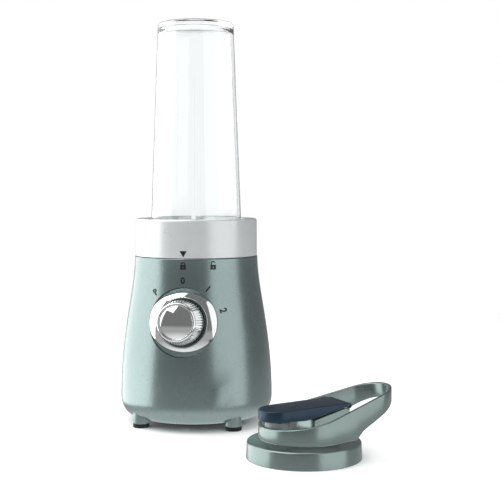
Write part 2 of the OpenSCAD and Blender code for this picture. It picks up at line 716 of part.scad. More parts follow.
// ---------- cup ----------
module cup_gasket() {
    color("#c9ccc9") tube(socket_r - 0.4, mouth_r - cup_wall - 1, collar_z + collar_floor, gasket_h - 0.05);
}
cup_shoulder_z = 25;                         // height of the straight mouth
end_t = 4.6;
end_recess = 2;
edge_round = 2.5;
rib_n = 4;
rib_turn = 8;
rib_low = 34;
rib_high = cup_h - 43;
rib_depth = 1.8;                             // how far a rib stands into the cup
rib_root = 0.6;                              // how far its foot is sunk in the wall
function cup_taper_r(z) = mouth_r - 0.4 - (mouth_r - 0.4 - cup_end_r) * (z - cup_shoulder_z)
    / (cup_h - cup_shoulder_z);
module travel_cup() {
    color([0.85, 0.92, 0.93, 0.35]) translate([0, 0, rim_z]) {
        rotate_extrude() polygon(concat(
            [[mouth_r - cup_wall, 0], [mouth_r, 0], [mouth_r, cup_shoulder_z - 1],
                [mouth_r - 0.4, cup_shoulder_z]],
            [for (a = [0:15:90])
                [cup_end_r - edge_round + edge_round * cos(a), cup_h - edge_round + edge_round * sin(a)]],
            [[cup_end_r - 6, cup_h], [cup_end_r - 8, cup_h - end_recess], [0, cup_h - end_recess],
             [0, cup_h - end_t]],
            [for (a = [90:-18:0]) [cup_end_r - cup_wall - 5 + 5 * cos(a), cup_h - end_t - 5 + 5 * sin(a)]],
            [[mouth_r - 0.4 - cup_wall, cup_shoulder_z]]));
        thread_ridge(mouth_r - 0.5, thread_crest_r, thread_start, thread_turns);
        // mixing ribs down the inside of the wall
        for (i = [0:rib_n - 1]) rotate(i * 360 / rib_n - 90 + rib_turn) rotate([90, 0, 0])
            translate([0, 0, -1.2])
            linear_extrude(2.4) polygon([
                [cup_taper_r(rib_low) - cup_wall + rib_root, rib_low],
                [cup_taper_r(rib_low) - cup_wall - rib_depth, rib_low + 3],
                [cup_taper_r(rib_high) - cup_wall - rib_depth, rib_high - 8],
                [cup_taper_r(rib_high) - cup_wall + rib_root, rib_high]]);
    }
}

// ---------- lid ----------
lid_r = socket_r + lid_wall;
lid_shoulder_h = 2.4;                        // rise of the sloping shoulder inside the ring
lid_neck_r = lid_r - 9.4;
lid_top_t = 2.4;
lid_top_z = lid_ring_h + lid_shoulder_h;
loop_t = 3;
loop_end_r = 24;
loop_x = loop_reach - loop_end_r;
loop_side_dip = 0.05;                        // gap between its straight sides and the ends' tangents
loop_floor_z = lid_top_z + 0.3;
deck_inset = 0.6;                            // how far the panel's edge stays inside the ring's outside
deck_z = 20;                                 // level of the flat panel inside the loop's ring
spout_x = -23;
spout_r = 10.5;
spout_bore_r = 8;
spout_top_z = 30.6;
flip_under_z = 31.6;
flip_top_z = 42.4;                           // top of the cap at the hinge
flip_fall = 2.6;                             // how much lower its other end is
flip_end_r = flip_w / 2;
hinge_x = 32;
hinge_z = 40;
barrel_r = 2.2;
pin_r = 1;
ear_in = 8;                                  // the hinge ears stand between these distances from the middle
ear_out = 11;
slope_x = -5;                                // where the cap's underside starts to climb to the hinge
// the carrying loop in its side view: its top edge bends here, and its lower edge leaves the ring
bend_x = -6;
bend_z = 31;
loop_h = 10;                                 // height of the loop's band at its far end
loop_low = [[hinge_x - 1, 16.1], [hinge_x + 3, 21], [hinge_x + 25.5, 31.5]];

module lid_place() {
    translate([lid_distance * cos(lid_bearing), lid_distance * sin(lid_bearing), 0])
        rotate(loop_bearing) children();
}
// draws a shape given in the loop's side view, w wide about the middle
module side_view(w) {
    translate([0, w / 2, 0]) rotate([90, 0, 0]) linear_extrude(w) children();
}
module loop_plan(inset) {
    lean = asin((lid_neck_r - loop_end_r) / loop_x);
    near = lid_neck_r - inset;
    far = loop_end_r - inset;
    n = near - loop_side_dip;
    f = far - loop_side_dip;
    circle(r = near);
    translate([loop_x, 0]) circle(r = far);
    polygon([[n * sin(lean), n * cos(lean)], [loop_x + f * sin(lean), f * cos(lean)],
        [loop_x + f * sin(lean), -f * cos(lean)], [n * sin(lean), -n * cos(lean)]]);
}
module lid_cap() {
    color("#76817f") lid_place() {
        difference() {
            rotate_extrude() polygon([[0, lid_top_z], [lid_neck_r, lid_top_z], [lid_r - 0.9, lid_ring_h],
                [lid_r, lid_ring_h - 0.9], [lid_r, 0.4], [lid_r - 0.4, 0], [socket_r, 0],
                [socket_r, lid_ring_h - lid_top_t], [lid_neck_r - 2, lid_top_z - lid_top_t],
                    [0, lid_top_z - lid_top_t]]);
            translate([spout_x, 0, lid_top_z - 5]) cylinder(r = spout_r, h = 9);
        }
        thread_ridge(socket_r + 0.5, mouth_r + 0.5, 2, thread_turns);
    }
}
module lid_gasket() {
    color("#c9ccc9") lid_place()
        tube(socket_r - 0.4, socket_r - 3.4, lid_ring_h - lid_top_t - gasket_h + 0.2, gasket_h - 0.2);
}
module hinge_block_shape() {
    // wedge that carries the hinge, just clear of the cap's sloping underside
    drop = 0.6;
    polygon([[slope_x + 6, deck_z - 1], [hinge_x + 2, deck_z - 1], [hinge_x + 2, hinge_z + 0.6],
        [hinge_x - 2.5, hinge_z - 1.6], [slope_x + 6, flip_under_z - drop]]);
}
module lid_handle() {
    color("#76817f") lid_place() {
        intersection() {
            translate([0, 0, lid_top_z - 5]) linear_extrude(60) difference() {
                loop_plan(0);
                loop_plan(loop_t);
            }
            side_view(3 * lid_neck_r) polygon(concat(
                [[-lid_neck_r - 1, loop_floor_z]], loop_low,
                [[loop_reach + 1, loop_tip_z - loop_h], [loop_reach + 1, loop_tip_z],
                 [bend_x, bend_z], [-lid_neck_r - 1, bend_z - 4.6]]));
        }
        difference() {
            translate([0, 0, loop_floor_z]) cylinder(r = lid_neck_r - deck_inset, h = deck_z - loop_floor_z);
            translate([spout_x, 0, 0]) cylinder(r = spout_r, h = 40);
        }
        difference() {
            intersection() {
                side_view(flip_w) hinge_block_shape();
                cylinder(r = lid_neck_r - deck_inset, h = 60);
            }
            translate([hinge_x, flip_w, hinge_z]) rotate([90, 0, 0])
                cylinder(r = barrel_r + 0.5, h = 2 * flip_w);
        }
        for (s = [1, -1]) translate([0, s * (ear_in + ear_out) / 2, 0]) difference() {
            side_view(ear_out - ear_in - 0.8) {
                translate([hinge_x, hinge_z]) circle(r = barrel_r);
                translate([hinge_x - barrel_r, hinge_z - 8]) square([2 * barrel_r - 0.4, 8]);
            }
            translate([hinge_x, 5, hinge_z]) rotate([90, 0, 0]) cylinder(r = pin_r, h = 10);
        }
    }
}
module drink_spout() {
    color("#b9c2be") lid_place() translate([spout_x, 0, lid_top_z - lid_top_t]) difference() {
        union() {
            cylinder(r = spout_r - 0.02, h = spout_top_z - lid_top_z + lid_top_t - 1);
            translate([0, 0, spout_top_z - lid_top_z + lid_top_t - 1 - e])
                cylinder(r1 = spout_r - 0.02, r2 = spout_r - 0.8, h = 1 + e);
        }
        translate([0, 0, -1]) cylinder(r = spout_bore_r, h = 40);
    }
}
module lid_hinge_pin() {
    color("silver") lid_place() translate([hinge_x, flip_w / 2 - 1.5, hinge_z]) rotate([90, 0, 0])
        cylinder(r = pin_r, h = flip_w - 3);
}
module flip_plan(inset) {
    translate([spout_x, 0]) circle(r = flip_end_r - inset);
    translate([spout_x, -flip_end_r + inset]) square([hinge_x - spout_x, flip_w - 2 * inset]);
}
module flip_section(inset) {
    polygon([[spout_x - flip_end_r, flip_under_z - inset * 2], [slope_x, flip_under_z - inset * 2],
        [hinge_x - 3 * inset, hinge_z - 0.4 - inset * 2], [hinge_x - 3 * inset, flip_top_z - inset],
        [spout_x - flip_end_r, flip_top_z - flip_fall - inset]]);
}
module flip_cap() {
    wall = 1.8;
    color("#4d545c") lid_place() difference() {
        union() {
            difference() {
                intersection() {
                    translate([0, 0, flip_under_z]) linear_extrude(20) flip_plan(0);
                    side_view(flip_w + 2) flip_section(0);
                }
                intersection() {
                    translate([0, 0, flip_under_z - 1]) linear_extrude(20) intersection() {
                        flip_plan(wall);
                        translate([-60, -30]) square([60 + hinge_x - 10, 60]);
                    }
                    side_view(flip_w) flip_section(wall);
                }
            }
            translate([spout_x, 0, flip_under_z])
                cylinder(r = spout_bore_r, h = flip_top_z - flip_fall - flip_under_z - 1);
            translate([hinge_x, flip_w / 2, hinge_z]) rotate([90, 0, 0]) cylinder(r = barrel_r, h = flip_w);
        }
        for (s = [1, -1]) translate([hinge_x, s * (ear_in + ear_out) / 2 + (ear_out - ear_in) / 2, hinge_z])
            rotate([90, 0, 0]) cylinder(r = barrel_r + 0.5, h = ear_out - ear_in);
        translate([hinge_x, flip_w, hinge_z]) rotate([90, 0, 0])
            cylinder(r = pin_r + running_gap, h = 2 * flip_w);
        translate([spout_x, 0, flip_under_z - 1]) cylinder(r = 3, h = 5);
    }
}
module spout_plug() {
    color("#2b2f33") lid_place() translate([spout_x, 0, 0]) {
        translate([0, 0, flip_under_z - 0.6]) cylinder(r = spout_bore_r, h = 0.6);
        translate([0, 0, flip_under_z - 4.5]) cylinder(r1 = 5.8, r2 = 7, h = 4);
        translate([0, 0, flip_under_z - e]) cylinder(r = 3, h = 4);
    }
}

base_housing();
top_deck();
deck_screws();
bottom_cover();
cover_screws();
foot_pad(-135);  // foot_pad_front_left
foot_pad(-45);  // foot_pad_front_right
foot_pad(135);  // foot_pad_rear_left
foot_pad(45);  // foot_pad_rear_right
dial_bezel();
rotary_switch();
control_board();
board_components();
stator_core();
field_coils();
upper_bracket();
lower_bracket();
bearing(upper_bracket_z + 2);  // upper_bearing
bearing(lower_bracket_z - 4);  // lower_bearing
brush_holders();
carbon_brushes();
motor_dampers();
motor_screws();
cord_gland();
interlock_spring(180);  // interlock_spring_left
interlock_spring(0);  // interlock_spring_right
interlock_switches();
deck_seal();
motor_shaft();
armature_core();
armature_windings();
commutator();
cooling_fan();
drive_coupling();
dial_knob();
dial_cap();
dial_spindle();
interlock_plunger(180);  // interlock_plunger_left
interlock_plunger(0);  // interlock_plunger_right
shaft_bush();
blade_shaft();
upper_blades();
lower_blades();
blade_nut();
driven_coupling();
blade_collar();
blade_hub();
hub_nut();
hub_seal();
cup_gasket();
travel_cup();
lid_cap();
lid_handle();
lid_gasket();
drink_spout();
lid_hinge_pin();
flip_cap();
spout_plug();
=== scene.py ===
# %% [markdown]
# A countertop blender: a painted motor base with a chrome dial, a silver blade unit that locks on
# the base with a short twist, a clear travel cup screwed in upside down, and the drinking lid that
# belongs to the cup, standing on the table beside it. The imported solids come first. They fix where
# everything is, and each visible surface is then either given a finish or replaced by a smoother
# piece of the same size.

# %% Frame
import json
import math

import bmesh
import bpy
from mathutils import Matrix, Vector

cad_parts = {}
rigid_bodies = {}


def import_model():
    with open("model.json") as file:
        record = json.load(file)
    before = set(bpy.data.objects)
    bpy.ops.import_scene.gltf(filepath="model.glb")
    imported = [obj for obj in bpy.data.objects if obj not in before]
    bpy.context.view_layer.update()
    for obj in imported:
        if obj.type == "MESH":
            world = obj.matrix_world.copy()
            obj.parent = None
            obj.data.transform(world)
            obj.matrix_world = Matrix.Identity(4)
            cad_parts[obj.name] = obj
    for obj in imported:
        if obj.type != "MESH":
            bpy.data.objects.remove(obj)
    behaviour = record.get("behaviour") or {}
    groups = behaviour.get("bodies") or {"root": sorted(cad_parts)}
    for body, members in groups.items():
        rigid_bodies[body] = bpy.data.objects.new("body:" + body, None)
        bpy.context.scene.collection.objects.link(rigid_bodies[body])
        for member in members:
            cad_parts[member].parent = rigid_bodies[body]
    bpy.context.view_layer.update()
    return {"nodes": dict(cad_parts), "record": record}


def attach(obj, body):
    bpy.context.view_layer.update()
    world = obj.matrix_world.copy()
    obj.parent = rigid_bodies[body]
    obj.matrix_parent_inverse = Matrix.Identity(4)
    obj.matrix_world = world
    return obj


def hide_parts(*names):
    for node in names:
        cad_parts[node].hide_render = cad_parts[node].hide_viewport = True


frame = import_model()
MM = 0.001

# %% [markdown]
# Most of a blender's parts are turned shapes: the housing, the collar, the cup, the dial and the
# lid's ring are all outlines swept round an axis. So the first helpers soften an outline's corners
# and turn it, all in millimetres. A modelled radius on every edge matters more than any material,
# because a real moulded edge always catches a thin line of light.

# %% Outlines and turned shapes
def rounded(corners, closed=True, steps=4):
    """Each corner is (x, y) or (x, y, reach). A reach swaps the corner for a curve of that reach."""
    line = []
    for i, (x, y, *reach) in enumerate(corners):
        if not reach or (not closed and i in (0, len(corners) - 1)):
            line.append((x, y))
            continue
        c, a, b = Vector((x, y)), Vector(corners[i - 1][:2]), Vector(corners[(i + 1) % len(corners)][:2])
        p = c + (a - c).normalized() * min(reach[0], (a - c).length * 0.49)
        q = c + (b - c).normalized() * min(reach[0], (b - c).length * 0.49)
        for k in range(steps + 1):
            t = k / steps
            line.append(tuple(p * (1 - t) ** 2 + c * 2 * t * (1 - t) + q * t * t))
    return line


def turned(outline, steps=160, ring=True):
    """Vertices and faces of an outline (radius, height) turned about Z. A ring outline closes on itself."""
    verts, rows, faces = [], [], []
    for r, z in outline:
        count = 1 if r < 1e-6 else steps
        rows.append(list(range(len(verts), len(verts) + count)))
        verts += [(r * math.cos(math.tau * k / steps), r * math.sin(math.tau * k / steps), z) for k in range(count)]
    pairs = list(zip(rows, rows[1:])) + ([(rows[-1], rows[0])] if ring else [])
    for a, b in pairs:
        for k in range(steps):
            n = (k + 1) % steps
            if len(a) == 1 and len(b) == 1:
                continue
            elif len(a) == 1:
                faces.append((a[0], b[n], b[k]))
            elif len(b) == 1:
                faces.append((a[k], a[n], b[0]))
            else:
                faces.append((a[k], a[n], b[n], b[k]))
    return verts, faces


def prism(outline, low, high):
    """A flat outline given height. low and high are heights, or functions of x that give them."""
    bottom = low if callable(low) else (lambda x: low)
    top = high if callable(high) else (lambda x: high)
    n = len(outline)
    verts = [(x, y, bottom(x)) for x, y in outline] + [(x, y, top(x)) for x, y in outline]
    faces = [tuple(range(n))[::-1], tuple(range(n, 2 * n))]
    faces += [(i, (i + 1) % n, n + (i + 1) % n, n + i) for i in range(n)]
    return verts, faces


# %% [markdown]
# An outline becomes an object, is cut or joined with others, gets soft edges, and is then shown on
# the body that it moves with. Boolean modifiers do the cutting, because they keep each step exact;
# every modifier is applied at once, so that later steps work on a plain mesh.

# %% Objects from shapes
def solid(name, shape, place=Matrix.Identity(4)):
    """An object at the origin whose mesh holds the shape, set in place and scaled to metres."""
    verts, faces = shape
    mesh = bpy.data.meshes.new(name)
    mesh.from_pydata([tuple((place @ Vector(v)) * MM) for v in verts], [], faces)
    bm = bmesh.new()
    bm.from_mesh(mesh)
    bmesh.ops.remove_doubles(bm, verts=bm.verts, dist=1e-7)
    bmesh.ops.recalc_face_normals(bm, faces=bm.faces)
    bm.to_mesh(mesh)
    bm.free()
    obj = bpy.data.objects.new(name, mesh)
    bpy.context.scene.collection.objects.link(obj)
    return obj


def settle(obj):
    """Makes an object's modifiers part of its mesh."""
    bpy.context.view_layer.update()
    mesh = bpy.data.meshes.new_from_object(obj.evaluated_get(bpy.context.evaluated_depsgraph_get()))
    obj.modifiers.clear()
    obj.data = mesh
    return obj


def carve(obj, tool, how="DIFFERENCE"):
    """Cuts, joins or keeps what obj and tool share, and removes the tool."""
    mod = obj.modifiers.new("carve", "BOOLEAN")
    mod.operation, mod.object, mod.solver = how, tool, "EXACT"
    settle(obj)
    bpy.data.objects.remove(tool)
    return obj


def joined(name, parts):
    """One object from several, whose meshes may pass into each other."""
    bm = bmesh.new()
    for part in parts:
        bm.from_mesh(part.data)
    mesh = bpy.data.meshes.new(name)
    bm.to_mesh(mesh)
    bm.free()
    for part in parts:
        bpy.data.objects.remove(part)
    obj = bpy.data.objects.new(name, mesh)
    bpy.context.scene.collection.objects.link(obj)
    return obj


def eased(obj, width, angle=35, segments=2):
    """Rounds the edges that are sharper than angle."""
    mod = obj.modifiers.new("edges", "BEVEL")
    mod.width, mod.segments, mod.limit_method, mod.angle_limit = width * MM, segments, "ANGLE", math.radians(angle)
    return settle(obj)


def shown(obj, body, material, slot, *nodes, crease=32):
    """Smooths a piece, gives it its finish and says where it belongs."""
    mesh = obj.data
    mesh.polygons.foreach_set("use_smooth", [True] * len(mesh.polygons))
    mesh.set_sharp_from_angle(angle=math.radians(crease))
    mesh.materials.clear()
    mesh.materials.append(material)
    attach(obj, body)
    if nodes:
        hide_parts(*nodes)
    print(f"{obj.name}: {len(mesh.polygons)} faces, rides on {body}")
    return obj


# %% [markdown]
# Screws, feet, ribs and grip ridges all repeat round an axis. One Geometry Nodes tree copies the legs, feet,
# lugs, ribs and grip ridges: it makes one point for each copy, puts the incoming shape on every point, and
# turns the copies by an equal step. The copies are made real at the end, so that the piece can leave Blender as a
# mesh.

# %% A ring of copies
def add(tree, kind, inputs=None, **settings):
    """Adds a node. inputs maps a socket's name or number to a value, or to the output that feeds it."""
    made = tree.nodes.new(kind)
    for key, value in settings.items():
        setattr(made, key, value)
    for key, value in (inputs or {}).items():
        if isinstance(value, bpy.types.NodeSocket):
            tree.links.new(value, made.inputs[key])
        else:
            made.inputs[key].default_value = value
    return made


def ring_tree():
    tree = bpy.data.node_groups.new("ring_of_copies", "GeometryNodeTree")
    for name, kind in (("Shape", "NodeSocketGeometry"), ("Count", "NodeSocketInt"), ("Start", "NodeSocketFloat"),
                       ("Sweep", "NodeSocketFloat"), ("Finish", "NodeSocketMaterial")):
        tree.interface.new_socket(name, in_out="INPUT", socket_type=kind)
    tree.interface.new_socket("Ring", in_out="OUTPUT", socket_type="NodeSocketGeometry")
    given = add(tree, "NodeGroupInput").outputs
    points = add(tree, "GeometryNodePoints", {"Count": given["Count"]})
    step = add(tree, "ShaderNodeMath", {0: given["Sweep"], 1: given["Count"]}, operation="DIVIDE")
    index = add(tree, "GeometryNodeInputIndex")
    angle = add(tree, "ShaderNodeMath", {0: index.outputs[0], 1: step.outputs[0], 2: given["Start"]},
        operation="MULTIPLY_ADD")
    turn = add(tree, "ShaderNodeCombineXYZ", {"Z": angle.outputs[0]})
    copies = add(tree, "GeometryNodeInstanceOnPoints",
                 {"Points": points.outputs[0], "Instance": given["Shape"], "Rotation": turn.outputs[0]})
    real = add(tree, "GeometryNodeRealizeInstances", {0: copies.outputs[0]})
    dressed = add(tree, "GeometryNodeSetMaterial", {"Geometry": real.outputs[0], "Material": given["Finish"]})
    add(tree, "NodeGroupOutput", {0: dressed.outputs[0]})
    return tree


RING = ring_tree()


def run_tree(obj, tree, place=Matrix.Identity(4), **sizes):
    """Runs a tree on an object with the sizes given by name, then sets the result in place."""
    mod = obj.modifiers.new(tree.name, "NODES")
    mod.node_group = tree
    for item in tree.interface.items_tree:
        if item.in_out == "INPUT" and item.name in sizes:
            mod[item.identifier] = sizes[item.name]
    settle(obj)
    obj.data.transform(place)
    return obj


def ring_of(obj, count, finish, start=0.0, sweep=math.tau, place=Matrix.Identity(4)):
    return run_tree(obj, RING, place, Count=count, Start=start, Sweep=sweep, Finish=finish)


# %% [markdown]
# Every finish starts from the real material. Colours are written as sRGB hex values, as a paint
# chart gives them, and turned to the linear values that light is computed with.

# %% Colour and plain mouldings
def shade(hex_value):
    parts = [int(hex_value[i:i + 2], 16) / 255 for i in (1, 3, 5)]
    return (*[c / 12.92 if c <= 0.04045 else ((c + 0.055) / 1.055) ** 2.4 for c in parts], 1.0)


def material(name):
    made = bpy.data.materials.new(name)
    made.use_nodes = True
    made.node_tree.nodes.clear()
    return made, made.node_tree


def surface(name, light, dark, grain, rough, bump, metallic=0.0, spread=0.06, coat=0.0, coat_rough=0.1, ior=1.5,
            detail=4.0, stretch=(1, 1, 1)):
    """A finish with a grain in mm: two close colours, roughness that varies by spread, and a bump in mm."""
    made, tree = material(name)
    where = add(tree, "ShaderNodeTexCoord").outputs["Object"]
    at = add(tree, "ShaderNodeMapping", {"Vector": where, "Scale": stretch}).outputs[0]
    fine = add(tree, "ShaderNodeTexNoise", {"Vector": at, "Scale": 1 / (grain * MM), "Detail": detail})
    broad = add(tree, "ShaderNodeTexNoise", {"Vector": at, "Scale": 1 / (grain * 40 * MM), "Detail": 3.0})
    blend = add(tree, "ShaderNodeMix", {0: fine.outputs[0], 6: shade(dark), 7: shade(light)}, data_type="RGBA")
    dull = add(tree, "ShaderNodeMapRange", {0: broad.outputs[0], 1: 0.3, 2: 0.7, 3: rough - spread,
        4: rough + spread})
    relief = add(tree, "ShaderNodeBump", {"Height": fine.outputs[0], "Strength": 0.5, "Distance": bump * MM})
    skin = add(tree, "ShaderNodeBsdfPrincipled", {
        "Base Color": blend.outputs[2], "Roughness": dull.outputs[0], "Normal": relief.outputs[0],
        "Metallic": metallic, "IOR": ior, "Coat Weight": coat, "Coat Roughness": coat_rough})
    add(tree, "ShaderNodeOutputMaterial", {"Surface": skin.outputs[0]})
    return made


# moulded ABS has a fine spark-eroded grain that breaks the light up into a soft sheen
dark_abs = surface("moulded_dark_abs", "#3a3f42", "#2b2f32", 0.4, 0.48, 0.02)
deck_abs = surface("moulded_gray_abs", "#5c6467", "#4f5659", 0.4, 0.45, 0.02)
cap_abs = surface("satin_slate_abs", "#2c4152", "#263a4a", 0.5, 0.32, 0.012, metallic=0.6, coat=0.06)
spout_pp = surface("pale_spout_polypropylene", "#b4bebb", "#a9b3b0", 0.5, 0.36, 0.01)
ivory_abs = surface("ivory_switch_nylon", "#d8d2bf", "#cbc5b2", 0.5, 0.5, 0.02)
hard_nylon = surface("glass_filled_nylon", "#2c2f31", "#202325", 0.3, 0.55, 0.03)
# rubber and silicone are matt, with hardly any highlight
foot_rubber = surface("moulded_nitrile_rubber", "#1d1e1f", "#141516", 0.5, 0.72, 0.03)
clear_silicone = surface("translucent_silicone", "#c5c9c6", "#b9bdba", 0.5, 0.5, 0.01)
red_silicone = surface("red_silicone", "#8a2c25", "#7a241e", 0.5, 0.55, 0.01)
# metals: zinc-plated screws, ground shafts, die-cast brackets, sintered bronze
zinc = surface("zinc_plated_steel", "#c3c6c8", "#a9adb0", 0.3, 0.32, 0.01, metallic=1.0)
ground_steel = surface("ground_stainless_steel", "#c9ccce", "#b7babd", 0.2, 0.24, 0.004, metallic=1.0,
    stretch=(1, 1, 0.05))
cast_alloy = surface("die_cast_aluminium", "#a9acad", "#96999b", 0.8, 0.5, 0.03, metallic=1.0)
bronze = surface("sintered_bronze", "#b08a4c", "#98743a", 0.3, 0.45, 0.02, metallic=1.0)
steel_stack = surface("lamination_steel", "#7d8083", "#5f6265", 0.5, 0.45, 0.05, metallic=1.0,
    stretch=(0.05, 0.05, 1))
copper_wire = surface("enamelled_copper_wire", "#b5652b", "#7f3f17", 0.5, 0.35, 0.2, metallic=0.8,
    stretch=(1, 1, 0.2))
carbon = surface("pressed_carbon", "#26282a", "#1b1d1f", 0.3, 0.6, 0.02)
solder_mask = surface("green_solder_mask", "#2a6a43", "#1f5635", 1.5, 0.3, 0.02)
yellow_film = surface("yellow_film_capacitor", "#d0ac3a", "#bd9a2e", 0.5, 0.35, 0.01)

# %% [markdown]
# The base is moulded and then painted with fine aluminium flakes under a satin lacquer. Light that
# reaches the flakes comes back almost like from metal, only softer, so the surface is a metallic
# shader with a wide highlight, a cell pattern for the flakes, and a thin coat over it. Real flakes
# are about 0.03 mm; here they are drawn at 0.35 mm, the smallest that still shows.

# %% Paints and plating
def flake_paint(name, light, dark, rough, metallic, coat):
    made, tree = material(name)
    where = add(tree, "ShaderNodeTexCoord").outputs["Object"]
    flakes = add(tree, "ShaderNodeTexVoronoi", {"Vector": where, "Scale": 1 / (0.35 * MM)})
    cell = add(tree, "ShaderNodeSeparateColor", {0: flakes.outputs["Color"]})
    cloud = add(tree, "ShaderNodeTexNoise", {"Vector": where, "Scale": 1 / (25 * MM), "Detail": 3.0})
    tone = add(tree, "ShaderNodeMix", {0: cell.outputs[0], 6: shade(dark), 7: shade(light)}, data_type="RGBA")
    dull = add(tree, "ShaderNodeMapRange", {0: cloud.outputs[0], 1: 0.3, 2: 0.7, 3: rough - 0.02, 4: rough + 0.02})
    relief = add(tree, "ShaderNodeBump", {"Height": cell.outputs[1], "Strength": 0.15, "Distance": 0.006 * MM})
    skin = add(tree, "ShaderNodeBsdfPrincipled", {
        "Base Color": tone.outputs[2], "Roughness": dull.outputs[0], "Normal": relief.outputs[0],
        "Metallic": metallic, "Coat Weight": coat, "Coat Roughness": 0.12})
    add(tree, "ShaderNodeOutputMaterial", {"Surface": skin.outputs[0]})
    return made


housing_paint = flake_paint("flake_paint_gray", "#95a7a6", "#8b9b9a", 0.27, 0.9, 0.1)
collar_paint = flake_paint("flake_paint_silver", "#e4e8e8", "#dbe0e0", 0.29, 0.34, 0.12)
lid_paint = flake_paint("satin_paint_gray", "#8d9e9b", "#83938f", 0.25, 0.8, 0.12)
# bright nickel-chrome plating on ABS: a mirror with the faintest ripple of the moulding under it
bright_chrome = surface("bright_chrome_plate", "#eceeee", "#e4e7e7", 3.0, 0.07, 0.01, metallic=1.0, spread=0.02)
black_ink = surface("pad_printed_black_ink", "#17191a", "#0f1011", 0.3, 0.5, 0.005)

# %% [markdown]
# The cup is clear copolyester. It bends light like glass, a little less strongly, and its colour
# shows only where the wall is seen edge-on, so the shader is a transmitting one with a faint tint
# that turns grayer towards the edges.

# %% Clear copolyester
def clear_plastic(name, tint, edge, rough):
    made, tree = material(name)
    where = add(tree, "ShaderNodeTexCoord").outputs["Object"]
    flow = add(tree, "ShaderNodeTexNoise", {"Vector": where, "Scale": 1 / (18 * MM), "Detail": 2.0})
    dull = add(tree, "ShaderNodeMapRange", {0: flow.outputs[0], 3: rough, 4: rough + 0.02})
    relief = add(tree, "ShaderNodeBump", {"Height": flow.outputs[0], "Strength": 0.08, "Distance": 0.2 * MM})
    edge_on = add(tree, "ShaderNodeLayerWeight", {"Blend": 0.5}).outputs["Facing"]
    deep = add(tree, "ShaderNodeMapRange", {0: edge_on, 1: 0.78, 2: 0.95})
    body = add(tree, "ShaderNodeMix", {0: deep.outputs[0], 6: shade(tint), 7: shade(edge)}, data_type="RGBA")
    skin = add(tree, "ShaderNodeBsdfPrincipled", {
        "Base Color": body.outputs[2], "Roughness": dull.outputs[0], "Normal": relief.outputs[0],
        "IOR": 1.45, "Transmission Weight": 1.0})
    add(tree, "ShaderNodeOutputMaterial", {"Surface": skin.outputs[0]})
    return made


cup_clear = clear_plastic("clear_copolyester", "#fbfdfd", "#8f9a9a", 0.0)

# %% [markdown]
# The parts inside the base are seen only when it is opened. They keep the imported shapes, and each
# material slot of the record gets its finish here from one table.

# %% Finishes for the solids that stay as they are
KEPT = {
    "housing_paint": housing_paint, "deck_plastic": deck_abs, "dark_plastic": dark_abs, "pad_rubber": foot_rubber,
    "bezel_chrome": bright_chrome, "knob_chrome": bright_chrome, "screw_steel": zinc, "switch_plastic": ivory_abs,
    "board": solder_mask, "board_parts": yellow_film, "laminated_steel": steel_stack, "copper": copper_wire,
    "bracket_metal": cast_alloy, "bronze": bronze, "carbon": carbon, "shaft_steel": ground_steel,
    "blade_steel": ground_steel, "fan_plastic": ivory_abs, "coupling_plastic": hard_nylon,
    "collar_silver": collar_paint, "seal_rubber": clear_silicone, "red_seal": red_silicone, "clear_cup": cup_clear,
    "lid_gray": lid_paint, "spout_light": spout_pp, "cap_dark": cap_abs}
slots = {p["node"]: p["material_slot"] for p in frame["record"]["subparts"]}
for node, obj in frame["nodes"].items():
    obj.data.materials.clear()
    obj.data.materials.append(KEPT[slots[node]])

# %% [markdown]
# The housing leans in as it rises, first slowly and then faster, and ends upright under the collar.
# Two handles of one Bezier curve give exactly that side, and a quarter of an ellipse rounds it under.

# %% Sizes of the base
RIM_R, RIM_Z, BELLY_R, BELLY_Z = 54.9, 148.5, 68.0, 24.0
FOOT_ROUND, LIFT, WALL = 12.0, 7.0, 2.6
HANDLE_TOP = RIM_Z - 0.24 * (RIM_Z - BELLY_Z)
HANDLE_LOW = BELLY_Z + 0.45 * (RIM_Z - BELLY_Z)


def side(t):
    z = RIM_Z * (1 - t) ** 3 + 3 * HANDLE_TOP * t * (1 - t) ** 2 + 3 * HANDLE_LOW * t * t * (1 - t) + BELLY_Z * t ** 3
    return RIM_R + (BELLY_R - RIM_R) * t * t * (3 - 2 * t), z


def housing_radius(z):
    low, high = 0.0, 1.0
    for _ in range(30):
        mid = (low + high) / 2
        low, high = (mid, high) if side(mid)[1] > z else (low, mid)
    return side(low)[0]


def base_outline(inset, floor, steps=64):
    line = [(side(i / steps)[0] - inset, side(i / steps)[1]) for i in range(steps + 1)]
    for i in range(1, 21):
        a = math.radians(90 * i / 20)
        line.append((BELLY_R - FOOT_ROUND + (FOOT_ROUND - inset) * math.cos(a),
            BELLY_Z - (BELLY_Z - floor) * math.sin(a)))
    return line


DIAL_Z, DIAL_TILT, BEZEL_R = 95.0, 7.5, 29.5
FRONT_R = housing_radius(DIAL_Z)
SEAT_DROP = FRONT_R - math.sqrt(FRONT_R ** 2 - BEZEL_R ** 2)
FACING = Matrix.Translation((0, -FRONT_R, DIAL_Z)) @ Matrix.Rotation(math.radians(90 - DIAL_TILT), 4, "X")
SEAT = FACING @ Matrix.Translation((0, 0, -SEAT_DROP))
print("front radius at the dial", round(FRONT_R, 2), "seat depth", round(SEAT_DROP, 2))


# %% [markdown]
# The housing is a moulded shell. Its outline is turned once, inside and outside together, so that
# it has a real wall. A dished seat for the dial is joined on and cut out, and four moulded legs
# are copied round the foot.

# %% Housing
def rod(r, low, high, steps=128):
    return turned([(0, low), (r, low), (r, high), (0, high)], steps, ring=False)


